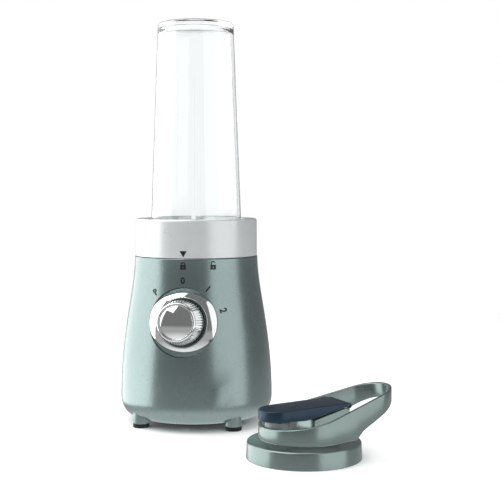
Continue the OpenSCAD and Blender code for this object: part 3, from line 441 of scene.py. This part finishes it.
outer = base_outline(0, LIFT)
inner = base_outline(WALL, LIFT + WALL)
OPENING_R = 46.45
shell = rounded([(RIM_R, RIM_Z, 0.7)] + outer[1:-1] + [outer[-1], (OPENING_R, LIFT, 0.4),
    (OPENING_R, LIFT + WALL, 0.4)]
                + inner[::-1][:-1] + [(RIM_R - WALL, RIM_Z, 0.5)])
housing = solid("housing_shell", turned(shell))
dish = solid("dish", rod(BEZEL_R + WALL, -WALL, 30), SEAT)
carve(dish, solid("bulk", turned([(0, RIM_Z)] + outer + [(0, LIFT)], ring=False)), "INTERSECT")
carve(housing, dish, "UNION")
carve(housing, solid("recess", rod(BEZEL_R + 0.3, 0, 40), SEAT))
carve(housing, solid("spindle_hole", rod(5, -30, 10, 48), SEAT))
AT_LEG = Matrix.Rotation(math.radians(45), 4, "Z") @ Matrix.Translation((58, 0, 0))
LEG = rounded([(0, 3.2), (6.75, 3.2, 0.5), (7.35, 15), (0, 15)], closed=False)
legs = solid("legs", turned(LEG, 48, ring=False), AT_LEG)
ring_of(legs, 4, housing_paint)
shown(joined("base_shell", [housing, legs]), "base", housing_paint, "housing_paint", "base_housing", crease=28)

# %% [markdown]
# Each leg stands on a rubber pad with a stem that is pressed up into it. One turned shape is
# enough, copied four times by the same ring as the legs.

# %% Foot pads
pad = solid("rubber_feet", turned(rounded([(0, 0), (7.1, 0, 0.5), (7.3, 3.2, 0.4), (2.4, 3.2), (2.4, 8.2),
    (0, 8.2)], closed=False), 64, ring=False),
            AT_LEG)
ring_of(pad, 4, foot_rubber)
shown(pad, "base", foot_rubber, "pad_rubber", "foot_pad_front_left", "foot_pad_front_right",
    "foot_pad_rear_left", "foot_pad_rear_right")

# %% [markdown]
# The dial is chromed plastic. Its ring is not flat: it falls away towards its rim, so each part of
# it looks in another direction and mirrors another part of the room. That is why a plain chrome ring
# shows bright and dark wedges. The knob's grip is a row of fine ridges round a tapered drum.

# %% Dial
KNOB_R, FACE_R, KNOB_GAP = 20.8, 16.4, 0.6
KNOB_LEN = 22.5 + SEAT_DROP - KNOB_GAP
bezel = solid("dial_ring", turned(rounded([(21.3, 0), (BEZEL_R, 0), (BEZEL_R, 1.0, 0.35), (21.9, 4.4, 0.4),
    (21.3, 3.9, 0.2)]), 192), SEAT)
shown(bezel, "base", bright_chrome, "bezel_chrome", "dial_bezel", crease=40)


def drum_r(z):
    return KNOB_R - 0.75 - (KNOB_R - FACE_R) * z / KNOB_LEN


drum = rounded([(3, 0), (drum_r(0), 0, 0.3), (drum_r(0), 1.4, 0.2), (drum_r(KNOB_LEN - 3), KNOB_LEN - 3, 0.3),
                (FACE_R + 0.1, KNOB_LEN - 2.6, 0.3), (FACE_R + 0.1, KNOB_LEN - 0.9, 0.5),
                    (FACE_R - 0.9, KNOB_LEN, 0.4),
                (14.6, KNOB_LEN, 0.3), (14.2, KNOB_LEN - 0.9, 0.2), (3, KNOB_LEN - 0.9)])
on_seat = SEAT @ Matrix.Translation((0, 0, KNOB_GAP))
knob = solid("knob_drum", turned(drum, 192), on_seat)
GRIPS = 52
half = math.pi * KNOB_R / GRIPS * 0.62
ridge_len = KNOB_LEN - 5
ridge = []
for z in (0, ridge_len):
    r = drum_r(z + 1.6)
    ridge += [(r - 0.4, -half, z + 1.6), (r + 0.35, -half * 0.55, z + 1.6), (r + 0.72, 0, z + 1.6),
        (r + 0.35, half * 0.55, z + 1.6), (r - 0.4, half, z + 1.6)]
ridge_faces = [(4, 3, 2, 1, 0), (5, 6, 7, 8, 9)] + [(i, i + 1, i + 6, i + 5) for i in range(4)] + [(4, 0, 5, 9)]
grip = solid("grip", (ridge, ridge_faces))
metres = Matrix.Translation(on_seat.translation * MM) @ on_seat.to_3x3().to_4x4()
ring_of(grip, GRIPS, bright_chrome, place=metres)
shown(joined("knob", [knob, grip]), "dial", bright_chrome, "knob_chrome", "dial_knob", crease=30)

face_edge, face_rise = 13.9, 3.2
disc = [(0, KNOB_LEN - 1.2), (face_edge, KNOB_LEN - 1.2)]
disc += [(face_edge * k / 24, KNOB_LEN - 0.9 + face_rise * (1 - (k / 24) ** 2)) for k in range(24, -1, -1)]
cap = solid("knob_face", turned(disc, 160, ring=False), on_seat)
shown(cap, "dial", bright_chrome, "knob_chrome", "dial_cap", crease=50)

# %% [markdown]
# The marks are printed with ink, so they have no thickness of their own: each is a thin patch laid
# on the curved surface a tenth of a millimetre out. The dial carries plain numbers, with a P for the
# setting that runs only while it is held.

# %% Printed marks
INK = 0.1


def laid(name, polygons, radius_at, spin=0.0):
    """Patches given as outlines in (x, z), laid on a turned surface and turned by spin degrees."""
    verts, faces = [], []
    for polygon in polygons:
        faces.append(tuple(range(len(verts), len(verts) + len(polygon))))
        for x, z in polygon:
            r = radius_at(z) + INK
            a = x / r - math.pi / 2 + math.radians(spin)
            verts.append((r * math.cos(a), r * math.sin(a), z))
    mesh = bpy.data.meshes.new(name)
    mesh.from_pydata([tuple(Vector(v) * MM) for v in verts], [], faces)
    obj = bpy.data.objects.new(name, mesh)
    bpy.context.scene.collection.objects.link(obj)
    return obj


def arc(x, z, r_in, r_out, start, end, steps=10):
    angles = [math.radians(start + (end - start) * i / steps) for i in range(steps + 1)]
    return [[(x + r_in * math.cos(a), z + r_in * math.sin(a)), (x + r_out * math.cos(a), z + r_out * math.sin(a)),
             (x + r_out * math.cos(b), z + r_out * math.sin(b)), (x + r_in * math.cos(b), z + r_in * math.sin(b))]
            for a, b in zip(angles, angles[1:])]


def padlock(z, is_open):
    w, h = 2.4, 4.0
    plate = [[(-w, z), (w, z), (w, z + h), (0.4, z + h), (0.4, z + 1.1), (-0.4, z + 1.1), (-0.4, z + h), (-w, z + h)],
             [(-0.4, z + 2.5), (0.4, z + 2.5), (0.4, z + h), (-0.4, z + h)]]
    lift = 1.2 if is_open else 0.3
    bow = arc(0, z + h + lift, 1.2, 2.1, -10 if not is_open else 20, 190 if not is_open else 180)
    leg = [[(-2.1, z + h - 0.1), (-1.2, z + h - 0.1), (-1.2, z + h + lift), (-2.1, z + h + lift)]]
    return plate + bow + leg + ([] if is_open else [[(1.2, z + h - 0.1), (2.1, z + h - 0.1),
        (2.1, z + h + lift), (1.2, z + h + lift)]])


locks = joined("lock_marks", [laid("closed", padlock(139.6, False), housing_radius),
    laid("open", padlock(139.6, True), housing_radius, 27)])
shown(locks, "base", black_ink, "housing_paint")
pointer = laid("lock_pointer", [[(-3.2, 155.4), (0, 150.1), (3.2, 155.4)]], lambda z: 54.45)
shown(pointer, "blade_unit", black_ink, "collar_silver")


def printed(letter, angle, size=7.4, radius=35.0):
    curve = bpy.data.curves.new("digit", "FONT")
    curve.body, curve.size, curve.align_x, curve.align_y, curve.offset = letter, size, "CENTER", "CENTER", 0.26
    holder = bpy.data.objects.new("digit", curve)
    bpy.context.scene.collection.objects.link(holder)
    bpy.context.view_layer.update()
    flat = bpy.data.meshes.new_from_object(holder.evaluated_get(bpy.context.evaluated_depsgraph_get()))
    bpy.data.objects.remove(holder)
    turn = Matrix.Rotation(math.radians(-angle), 2)
    centre = Vector((radius * math.sin(math.radians(angle)), DIAL_Z + radius * math.cos(math.radians(angle))))
    for v in flat.vertices:
        x, z = centre + turn @ v.co.to_2d()
        v.co = Vector((x, -math.sqrt((housing_radius(z) + INK) ** 2 - x * x), z)) * MM
    obj = bpy.data.objects.new("digit", flat)
    bpy.context.scene.collection.objects.link(obj)
    return obj


digits = joined("dial_numbers", [printed("P", -45), printed("0", 0), printed("1", 37), printed("2", 74)])
shown(digits, "base", black_ink, "housing_paint")

# %% [markdown]
# The collar is one turned shape: a band with a soft upper edge, a lip that slopes in to the socket
# for the cup, a floor, and the skirt that drops into the base. Three lugs on the skirt do the locking.
# Two ramps in the skirt's edge let the plungers rise while the unit is turned to unlock it.

# %% Collar
COLLAR_Z, COLLAR_TOP = 149.0, 182.0
SOCKET_R = 42.8
band = rounded([(54.45, COLLAR_Z, 0.3), (54.25, COLLAR_TOP, 2.2), (45.5, COLLAR_TOP, 0.8),
    (SOCKET_R, COLLAR_TOP - 4, 0.6),
                (SOCKET_R, 152, 0.5), (10, 152), (10, COLLAR_Z), (35, COLLAR_Z), (35, 125, 0.3), (38, 125, 0.3),
                (38, COLLAR_Z), (45.4, COLLAR_Z, 0.3), (45.4, COLLAR_TOP - 3), (51.8, COLLAR_TOP - 3),
                    (51.8, COLLAR_Z, 0.3)], steps=6)
collar = solid("collar_band", turned(band, 224))
SKIRT_LOW, PLUNGER_CIRCLE, PLUNGER_RISE, UNLOCK = 125.0, 36.5, 3.4, math.radians(27)
run = PLUNGER_CIRCLE * math.sin(UNLOCK)
ramp = [(0, SKIRT_LOW - 1), (run + 9, SKIRT_LOW - 1), (run + 9, SKIRT_LOW + PLUNGER_RISE),
        (run, SKIRT_LOW + PLUNGER_RISE), (0, SKIRT_LOW)]
for turn in (-90, 90):
    upright = Matrix.Rotation(math.radians(turn), 4, "Z") @ Matrix.Rotation(math.pi / 2, 4, "X")
    carve(collar, solid("ramp", prism(ramp, -PLUNGER_CIRCLE - 6, 16 - PLUNGER_CIRCLE), upright))
step_angles = [math.radians(-11 + 22 * i / 12) for i in range(13)]
lug_plan = [(37.6 * math.cos(a), 37.6 * math.sin(a)) for a in step_angles] + [(41.4 * math.cos(a),
    41.4 * math.sin(a)) for a in step_angles[::-1]]
lugs = eased(solid("lugs", prism(lug_plan, 132.5, 136.5)), 0.4)
ring_of(lugs, 3, collar_paint, start=math.pi / 2)
shown(joined("collar", [collar, lugs]), "blade_unit", collar_paint, "collar_silver", "blade_collar", crease=30)

# %% [markdown]
# The cup tapers evenly from its straight mouth to its closed end, which is dished so that the cup
# stands. Four ribs down the inside break up the whirl of food. The screw thread is a small wedge
# swept along a helix, which Geometry Nodes draws from its pitch and its number of turns.

# %% Cup
MOUTH_R, END_R, CUP_H, CUP_WALL, RIM_OF_CUP, SHOULDER = 40.6, 33.5, 201.0, 2.3, 153.8, 25.0


def taper(z):
    return MOUTH_R - 0.4 - (MOUTH_R - 0.4 - END_R) * (z - SHOULDER) / (CUP_H - SHOULDER)


cup_line = rounded([(MOUTH_R - CUP_WALL, 0, 0.6), (MOUTH_R, 0, 0.6), (MOUTH_R, SHOULDER - 1, 0.5),
    (MOUTH_R - 0.4, SHOULDER, 0.5),
                    (END_R, CUP_H, 3.2), (END_R - 5.5, CUP_H, 1.2), (END_R - 7.5, CUP_H - 2, 1.2),
                        (0, CUP_H - 2)], closed=False, steps=8)
cup_line += rounded([(0, CUP_H - 4.6), (END_R - CUP_WALL, CUP_H - 4.6, 6.0),
    (MOUTH_R - 0.4 - CUP_WALL, SHOULDER)], closed=False, steps=10)
up = Matrix.Translation((0, 0, RIM_OF_CUP))
cup = solid("cup_wall", turned(cup_line + [cup_line[0]], 192, ring=False), up)


def thread_tree():
    tree = bpy.data.node_groups.new("screw_thread", "GeometryNodeTree")
    for name, kind in (("Turns", "NodeSocketFloat"), ("Pitch", "NodeSocketFloat"), ("Radius", "NodeSocketFloat"),
                       ("Width", "NodeSocketFloat"), ("Finish", "NodeSocketMaterial")):
        tree.interface.new_socket(name, in_out="INPUT", socket_type=kind)
    tree.interface.new_socket("Thread", in_out="OUTPUT", socket_type="NodeSocketGeometry")
    given = add(tree, "NodeGroupInput").outputs
    rise = add(tree, "ShaderNodeMath", {0: given["Turns"], 1: given["Pitch"]}, operation="MULTIPLY")
    helix = add(tree, "GeometryNodeCurveSpiral", {"Resolution": 48, "Rotations": given["Turns"],
        "Start Radius": given["Radius"],
                                                  "End Radius": given["Radius"], "Height": rise.outputs[0]})
    wedge = add(tree, "GeometryNodeCurvePrimitiveCircle", {"Resolution": 8, "Radius": given["Width"]})
    swept = add(tree, "GeometryNodeCurveToMesh", {"Curve": helix.outputs[0], "Profile Curve": wedge.outputs[0],
        "Fill Caps": True})
    dressed = add(tree, "GeometryNodeSetMaterial", {"Geometry": swept.outputs[0], "Material": given["Finish"]})
    add(tree, "NodeGroupOutput", {0: dressed.outputs[0]})
    return tree


THREAD = thread_tree()


def thread(name, radius, low, finish, place=Matrix.Identity(4)):
    obj = bpy.data.objects.new(name, bpy.data.meshes.new(name))
    bpy.context.scene.collection.objects.link(obj)
    lift = Matrix.Translation((place.translation + Vector((0, 0, low))) * MM) @ place.to_3x3().to_4x4()
    return run_tree(obj, THREAD, lift, Turns=0.98, Pitch=6 * MM, Radius=radius * MM, Width=1.05 * MM, Finish=finish)


rib_low, rib_high = 36.0, 156.0
rib_side = [(taper(rib_low) - CUP_WALL + 0.8, rib_low - 2), (taper(rib_low) - CUP_WALL - 1.7, rib_low + 2),
            (taper(rib_high) - CUP_WALL - 1.7, rib_high - 8), (taper(rib_high) - CUP_WALL + 0.8, rib_high + 2)]
rib = solid("rib", ([(r, s * 1.2, z + RIM_OF_CUP) for s in (-1, 1) for r, z in rib_side],
                    [(0, 1, 2, 3), (7, 6, 5, 4), (0, 4, 5, 1), (1, 5, 6, 2), (2, 6, 7, 3), (3, 7, 4, 0)]))
ring_of(rib, 4, cup_clear, start=math.radians(-82))
carve(cup, rib, "UNION")
carve(cup, thread("cup_thread", MOUTH_R + 0.5, RIM_OF_CUP + 5, cup_clear), "UNION")
shown(joined("travel_cup_clear", [cup]), "cup", cup_clear, "clear_cup", "travel_cup", crease=40)

# %% [markdown]
# The lid is a screw ring with a sloping shoulder. A wide band runs round it and out into a carrying
# loop. Inside the band is a flat panel with the spout, and a wedge that carries the flip cap's hinge.

# %% Lid ring
LID_BEARING = math.radians(-48.3)
LID = Matrix.Translation((168 * math.cos(LID_BEARING), 168 * math.sin(LID_BEARING),
    0)) @ Matrix.Rotation(math.radians(35), 4, "Z")
LID_R, RING_H, NECK_R, LID_TOP, SPOUT_X = 45.2, 13.4, 35.8, 15.8, -23.0
lid_line = rounded([(0, LID_TOP), (NECK_R - 0.4, LID_TOP, 0.5), (LID_R - 0.6, RING_H - 0.1, 1.4),
    (LID_R, 0, 0.5), (SOCKET_R, 0, 0.4),
                    (SOCKET_R, RING_H - 2.4, 0.6), (NECK_R - 2, LID_TOP - 2.4), (0, LID_TOP - 2.4)],
                        closed=False, steps=6)
lid_ring = solid("lid_ring", turned(lid_line, 192, ring=False), LID)
carve(lid_ring, solid("spout_hole", rod(10.4, 8, 22, 64), LID @ Matrix.Translation((SPOUT_X, 0, 0))))
shown(joined("lid_screw_ring", [lid_ring, thread("lid_thread", SOCKET_R - 0.4, 2, lid_paint, LID)]), "lid",
    lid_paint, "lid_gray", "lid_cap", crease=35)

# %% [markdown]
# The band is one wall of even thickness that follows the ring and then runs out into the loop. It is
# drawn from above as two outlines, and its upper and lower edges follow two lines in the side view.

# %% Band and carrying loop
LOOP_X, LOOP_END_R, BAND, DECK_Z = 52.0, 24.0, 3.0, 20.0
HINGE_X, HINGE_Z = 32.0, 40.0
lean = math.asin((NECK_R - LOOP_END_R) / LOOP_X)


def band_plan(inset, steps=40):
    """The band's outline: the big ring, two tangents and the round end of the loop."""
    line = []
    a0, a1 = math.pi / 2 - lean, math.tau - (math.pi / 2 - lean)
    line += [((NECK_R - inset) * math.cos(a0 + (a1 - a0) * i / (2 * steps)),
        (NECK_R - inset) * math.sin(a0 + (a1 - a0) * i / (2 * steps))) for i in range(2 * steps + 1)]
    b0, b1 = -(math.pi / 2 - lean), math.pi / 2 - lean
    end = [(LOOP_X + (LOOP_END_R - inset) * math.cos(b0 + (b1 - b0) * i / steps),
        (LOOP_END_R - inset) * math.sin(b0 + (b1 - b0) * i / steps)) for i in range(steps + 1)]
    for near, far in ((line[-1], end[0]), (end[-1], line[0])):
        between = [(near[0] + (far[0] - near[0]) * k / 12, near[1] + (far[1] - near[1]) * k / 12) for k in range(1,
            12)]
        line += between + (end if near == line[0 + 2 * steps] else [])
    return line


TOP_EDGE = rounded([(-37, 26.4), (-6, 31, 16), (77, 52.7)], closed=False, steps=8)
LOW_EDGE = rounded([(-37, 16), (31, 16, 3), (35.5, 21.5, 4), (57.5, 31.5, 9), (77, 42.6)], closed=False, steps=6)


def along(line, x):
    """Height at x on a line given by its points."""
    for (x0, z0), (x1, z1) in zip(line, line[1:]):
        if x <= x1:
            return z0 + (z1 - z0) * max(0.0, x - x0) / (x1 - x0)
    return line[-1][1]


def band_low(x):
    return along(LOW_EDGE, x)


def band_top(x):
    return along(TOP_EDGE, x)


outside, inside = band_plan(0.1), band_plan(BAND)
n = len(outside)
verts = [(x, y, band_low(x)) for x, y in outside] + [(x, y, band_top(x)) for x, y in outside] \
    + [(x, y, band_top(x)) for x, y in inside] + [(x, y, band_low(x)) for x, y in inside]
faces = [(k * n + i, k * n + (i + 1) % n, (k + 1) % 4 * n + (i + 1) % n,
    (k + 1) % 4 * n + i) for k in range(4) for i in range(n)]
loop = eased(solid("loop", (verts, faces), LID), 0.9, angle=50, segments=3)
panel = solid("panel", turned(rounded([(0, 16), (NECK_R - 0.3, 16), (NECK_R - 0.3, DECK_Z, 0.8), (0, DECK_Z)],
    closed=False), 128, ring=False), LID)
carve(panel, solid("spout_hole", rod(10.5, 8, 32, 64), LID @ Matrix.Translation((SPOUT_X, 0, 0))))


def side_prism(outline, width, centre=0.0):
    """An outline given in the lid's side view, (x, z), given width about a line y = centre."""
    n = len(outline)
    verts = [(x, centre + s * width / 2, z) for s in (-1, 1) for x, z in outline]
    return verts, [tuple(range(n)), tuple(range(2 * n - 1, n - 1, -1))] + [(i, n + i, n + (i + 1) % n,
        (i + 1) % n) for i in range(n)]


BARREL = 2.2
wedge = eased(solid("wedge", side_prism([(1, DECK_Z - 1), (34, DECK_Z - 1), (34, HINGE_Z - 2.4),
    (HINGE_X + 0.6, HINGE_Z - 2.8),
                                         (HINGE_X - 1.6, HINGE_Z - 2.6), (HINGE_X - 3.4, HINGE_Z - 1.9),
                                             (1, 31)], 29.4), LID), 0.5)
carve(wedge, solid("ring_of_panel", rod(NECK_R - 0.3, 10, 60), LID), "INTERSECT")
ears = []
for middle in (-9.5, 9.5):
    round_ear = [(HINGE_X + BARREL * math.cos(math.tau * i / 32),
        HINGE_Z + BARREL * math.sin(math.tau * i / 32)) for i in range(17)]
    ears.append(eased(solid("ear", side_prism(round_ear + [(HINGE_X - BARREL, 34),
        (HINGE_X + BARREL - 0.3, 34)], 2.2, middle), LID), 0.2))
shown(joined("lid_band", [loop, panel, wedge] + ears), "lid", lid_paint, "lid_gray", "lid_handle", crease=35)

# %% [markdown]
# The spout is a short pale tube with a soft rim, a turned shape again.

# %% Spout
spout_line = rounded([(8, 13.2), (10.4, 13.2), (10.4, 21), (9.9, 29.8, 0.5), (9.6, 30.6, 0.5), (8, 30.6, 0.5)],
    steps=4)
shown(solid("spout", turned(spout_line, 96), LID @ Matrix.Translation((SPOUT_X, 0, 0))), "lid", spout_pp,
    "spout_light", "drink_spout")

# %% [markdown]
# The cap is a hollow shell, half round at the spout and straight to the hinge. The plan is given
# height and then cut to the side view, which is simpler than modelling the slopes one by one.

# %% Flip cap
FLIP_R, FLIP_LOW, SLOPE_X, FLIP_END = 15.0, 31.6, -5.0, HINGE_X - 0.4


def flip_plan(inset, end=FLIP_END, steps=32):
    """The cap seen from above: half a circle round the spout, and two straight sides to the hinge."""
    r = FLIP_R - inset
    arc_part = [(SPOUT_X - r * math.sin(math.pi * i / steps),
        r * math.cos(math.pi * i / steps)) for i in range(steps + 1)]
    return arc_part + [(end - inset, -r), (end - inset, r)]


def flip_top(x):
    return 39.8 + 2.6 * (x - SPOUT_X + FLIP_R) / (HINGE_X - SPOUT_X + FLIP_R)


FAR_X = SPOUT_X - FLIP_R - 1
lid_flap = solid("flap", prism(flip_plan(0), 20, 60), LID)
section = [(FAR_X, FLIP_LOW), (SLOPE_X, FLIP_LOW), (HINGE_X, HINGE_Z - 0.4), (HINGE_X, flip_top(HINGE_X)),
    (FAR_X, flip_top(FAR_X))]
carve(lid_flap, solid("section", side_prism(section, 50), LID), "INTERSECT")
eased(lid_flap, 0.9, angle=40, segments=3)
room = [(FAR_X, 20), (22, 20), (22, flip_top(22) - 1.8), (FAR_X, flip_top(FAR_X) - 1.8)]
hollow = solid("hollow", prism(flip_plan(1.8, 22), 21, 59), LID)
carve(hollow, solid("room", side_prism(room, 50), LID), "INTERSECT")
carve(lid_flap, hollow)
boss = solid("boss", turned(rounded([(0, FLIP_LOW), (8, FLIP_LOW, 0.3), (8, 39), (0, 39)], closed=False), 64,
    ring=False),
             LID @ Matrix.Translation((SPOUT_X, 0, 0)))
across = LID @ Matrix.Translation((HINGE_X, 0, HINGE_Z)) @ Matrix.Rotation(math.pi / 2, 4, "X")
barrel = solid("barrel", turned(rounded([(1.05, -14.9, 0.2), (BARREL, -14.9, 0.3), (BARREL, 14.9, 0.3),
    (1.05, 14.9, 0.2)]), 48), across)
for middle in (-9.5, 9.5):
    for piece in (lid_flap, barrel):
        gap = turned([(0, middle - 1.5), (BARREL + 0.5, middle - 1.5), (BARREL + 0.5, middle + 1.5),
            (0, middle + 1.5)], 48, ring=False)
        carve(piece, solid("slot", gap, across))
flap = joined("flip_cap_shell", [lid_flap, boss, barrel])
shown(flap, "flip_cap", cap_abs, "cap_dark", "flip_cap", crease=35)

# %% [markdown]
# The room has a pale floor and a sky that is white where it is seen directly or through the clear
# cup, and darker for reflections, so the curved paint shows a soft dark band down its middle. The
# floor is hidden from reflections and casts no shadow; ambient occlusion strengthens its contact
# shadow. The lid's gray pieces are hidden from reflections too, so the base does not mirror them.
# Neither is how a real room behaves: switch visible_glossy back on to reuse the lid elsewhere.

# %% Floor and sky
def seen(tree, far, near):
    """far for rays that come from the camera or through clear plastic, near for all others."""
    path = add(tree, "ShaderNodeLightPath")
    direct = add(tree, "ShaderNodeMath", {0: path.outputs["Is Camera Ray"], 1: path.outputs["Is Transmission Ray"]},
                 operation="MAXIMUM")
    return add(tree, "ShaderNodeMapRange", {0: direct.outputs[0], 3: near, 4: far}).outputs[0]


floor_mat, tree = material("matt_white_board")
where = add(tree, "ShaderNodeTexCoord").outputs["Object"]
fibre = add(tree, "ShaderNodeTexNoise", {"Vector": where, "Scale": 400.0, "Detail": 2.0})
tone = add(tree, "ShaderNodeMix", {0: fibre.outputs[0], 6: shade("#f3f4f4"), 7: shade("#f7f8f8")}, data_type="RGBA")
open_sky = add(tree, "ShaderNodeAmbientOcclusion", {"Distance": 0.06}, samples=8)
lift = add(tree, "ShaderNodeMath", {0: open_sky.outputs["AO"], 1: seen(tree, 0.55, 0.1)}, operation="MULTIPLY")
board = add(tree, "ShaderNodeBsdfPrincipled", {
    "Base Color": tone.outputs[2], "Roughness": 0.7, "Specular IOR Level": 0.2,
    "Emission Color": (1, 1, 1, 1), "Emission Strength": lift.outputs[0]})
glow = add(tree, "ShaderNodeEmission", {"Strength": seen(tree, 1.0, 0.6)})
reach = add(tree, "ShaderNodeVectorMath", {0: where}, operation="LENGTH")
away = add(tree, "ShaderNodeMapRange", {0: reach.outputs["Value"], 1: 0.3, 2: 0.9})
sheet = add(tree, "ShaderNodeMixShader", {0: away.outputs[0], 1: board.outputs[0], 2: glow.outputs[0]})
add(tree, "ShaderNodeOutputMaterial", {"Surface": sheet.outputs[0]})
floor = solid("floor", ([(-6000, -3000, 0), (6000, -3000, 0), (6000, 9000, 0), (-6000, 9000, 0)], [(0, 1, 2, 3)]))
floor.data.materials.append(floor_mat)
floor.visible_glossy = False
floor.visible_shadow = False
for piece in bpy.context.scene.objects:
    if piece.type == "MESH" and any(m and m.name == lid_paint.name for m in piece.data.materials):
        piece.visible_glossy = False

world = bpy.data.worlds.new("studio")
bpy.context.scene.world = world
world.use_nodes = True
world.node_tree.nodes.clear()
tree = world.node_tree
height = add(tree, "ShaderNodeSeparateXYZ", {0: add(tree, "ShaderNodeTexCoord").outputs["Generated"]}).outputs[2]
below = add(tree, "ShaderNodeMapRange", {0: height, 1: -0.04, 2: -0.16, 3: 0.2, 4: 0.42})
deep = add(tree, "ShaderNodeMapRange", {0: height, 1: -0.35, 2: -0.6, 3: 0.0, 4: 0.5})
room = add(tree, "ShaderNodeMath", {0: below.outputs[0], 1: deep.outputs[0]}, operation="ADD")
level = add(tree, "ShaderNodeMix", {0: seen(tree, 1.0, 0.0), 2: room.outputs[0], 3: 1.0})
sky = add(tree, "ShaderNodeBackground", {"Color": (1, 1, 1, 1), "Strength": level.outputs[0]})
add(tree, "ShaderNodeOutputWorld", {"Surface": sky.outputs[0]})


# %% [markdown]
# Four soft boxes light the object. The panels are large because chrome and flake paint mirror their
# shape: a small lamp would show as a dot. Their places were found by comparing renders with one view.

# %% Soft boxes
def panel_light(name, azimuth, elevation, distance, size, power, aim=(0, 0, 0.14)):
    """A soft box that stands at an angle round the object and looks at it."""
    lamp = bpy.data.lights.new(name, "AREA")
    lamp.shape, lamp.size, lamp.size_y, lamp.energy = "RECTANGLE", size[0], size[1], power
    obj = bpy.data.objects.new(name, lamp)
    bpy.context.scene.collection.objects.link(obj)
    a, e = math.radians(azimuth), math.radians(elevation)
    out = Vector((math.sin(a) * math.cos(e), -math.cos(a) * math.cos(e), math.sin(e)))
    obj.location = Vector(aim) + out * distance
    obj.rotation_euler = out.to_track_quat("Z", "Y").to_euler()
    obj.visible_camera = False
    return obj


panel_light("left_panel", -100, 14, 1.1, (2.2, 1.7), 21)
panel_light("right_panel", 64, 12, 1.3, (1.4, 1.6), 7)
panel_light("upper_panel", -45, 54, 1.3, (0.9, 0.9), 6)
panel_light("top_panel", -60, 80, 1.5, (1.6, 1.6), 7)

# %% [markdown]
# The camera is a long lens, a little above the table, which keeps the tall shape upright.

# %% Camera
camera = bpy.data.cameras.new("camera")
camera.lens, camera.sensor_width = 78.84, 36.0
viewer = bpy.data.objects.new("camera", camera)
viewer.location = (0.2048, -0.9635, 0.209)
viewer.rotation_euler = (math.radians(90 - 3.24), 0, math.radians(12 - 2.807))
bpy.context.scene.collection.objects.link(viewer)
bpy.context.scene.camera = viewer
bpy.context.scene.view_settings.view_transform = "Standard"
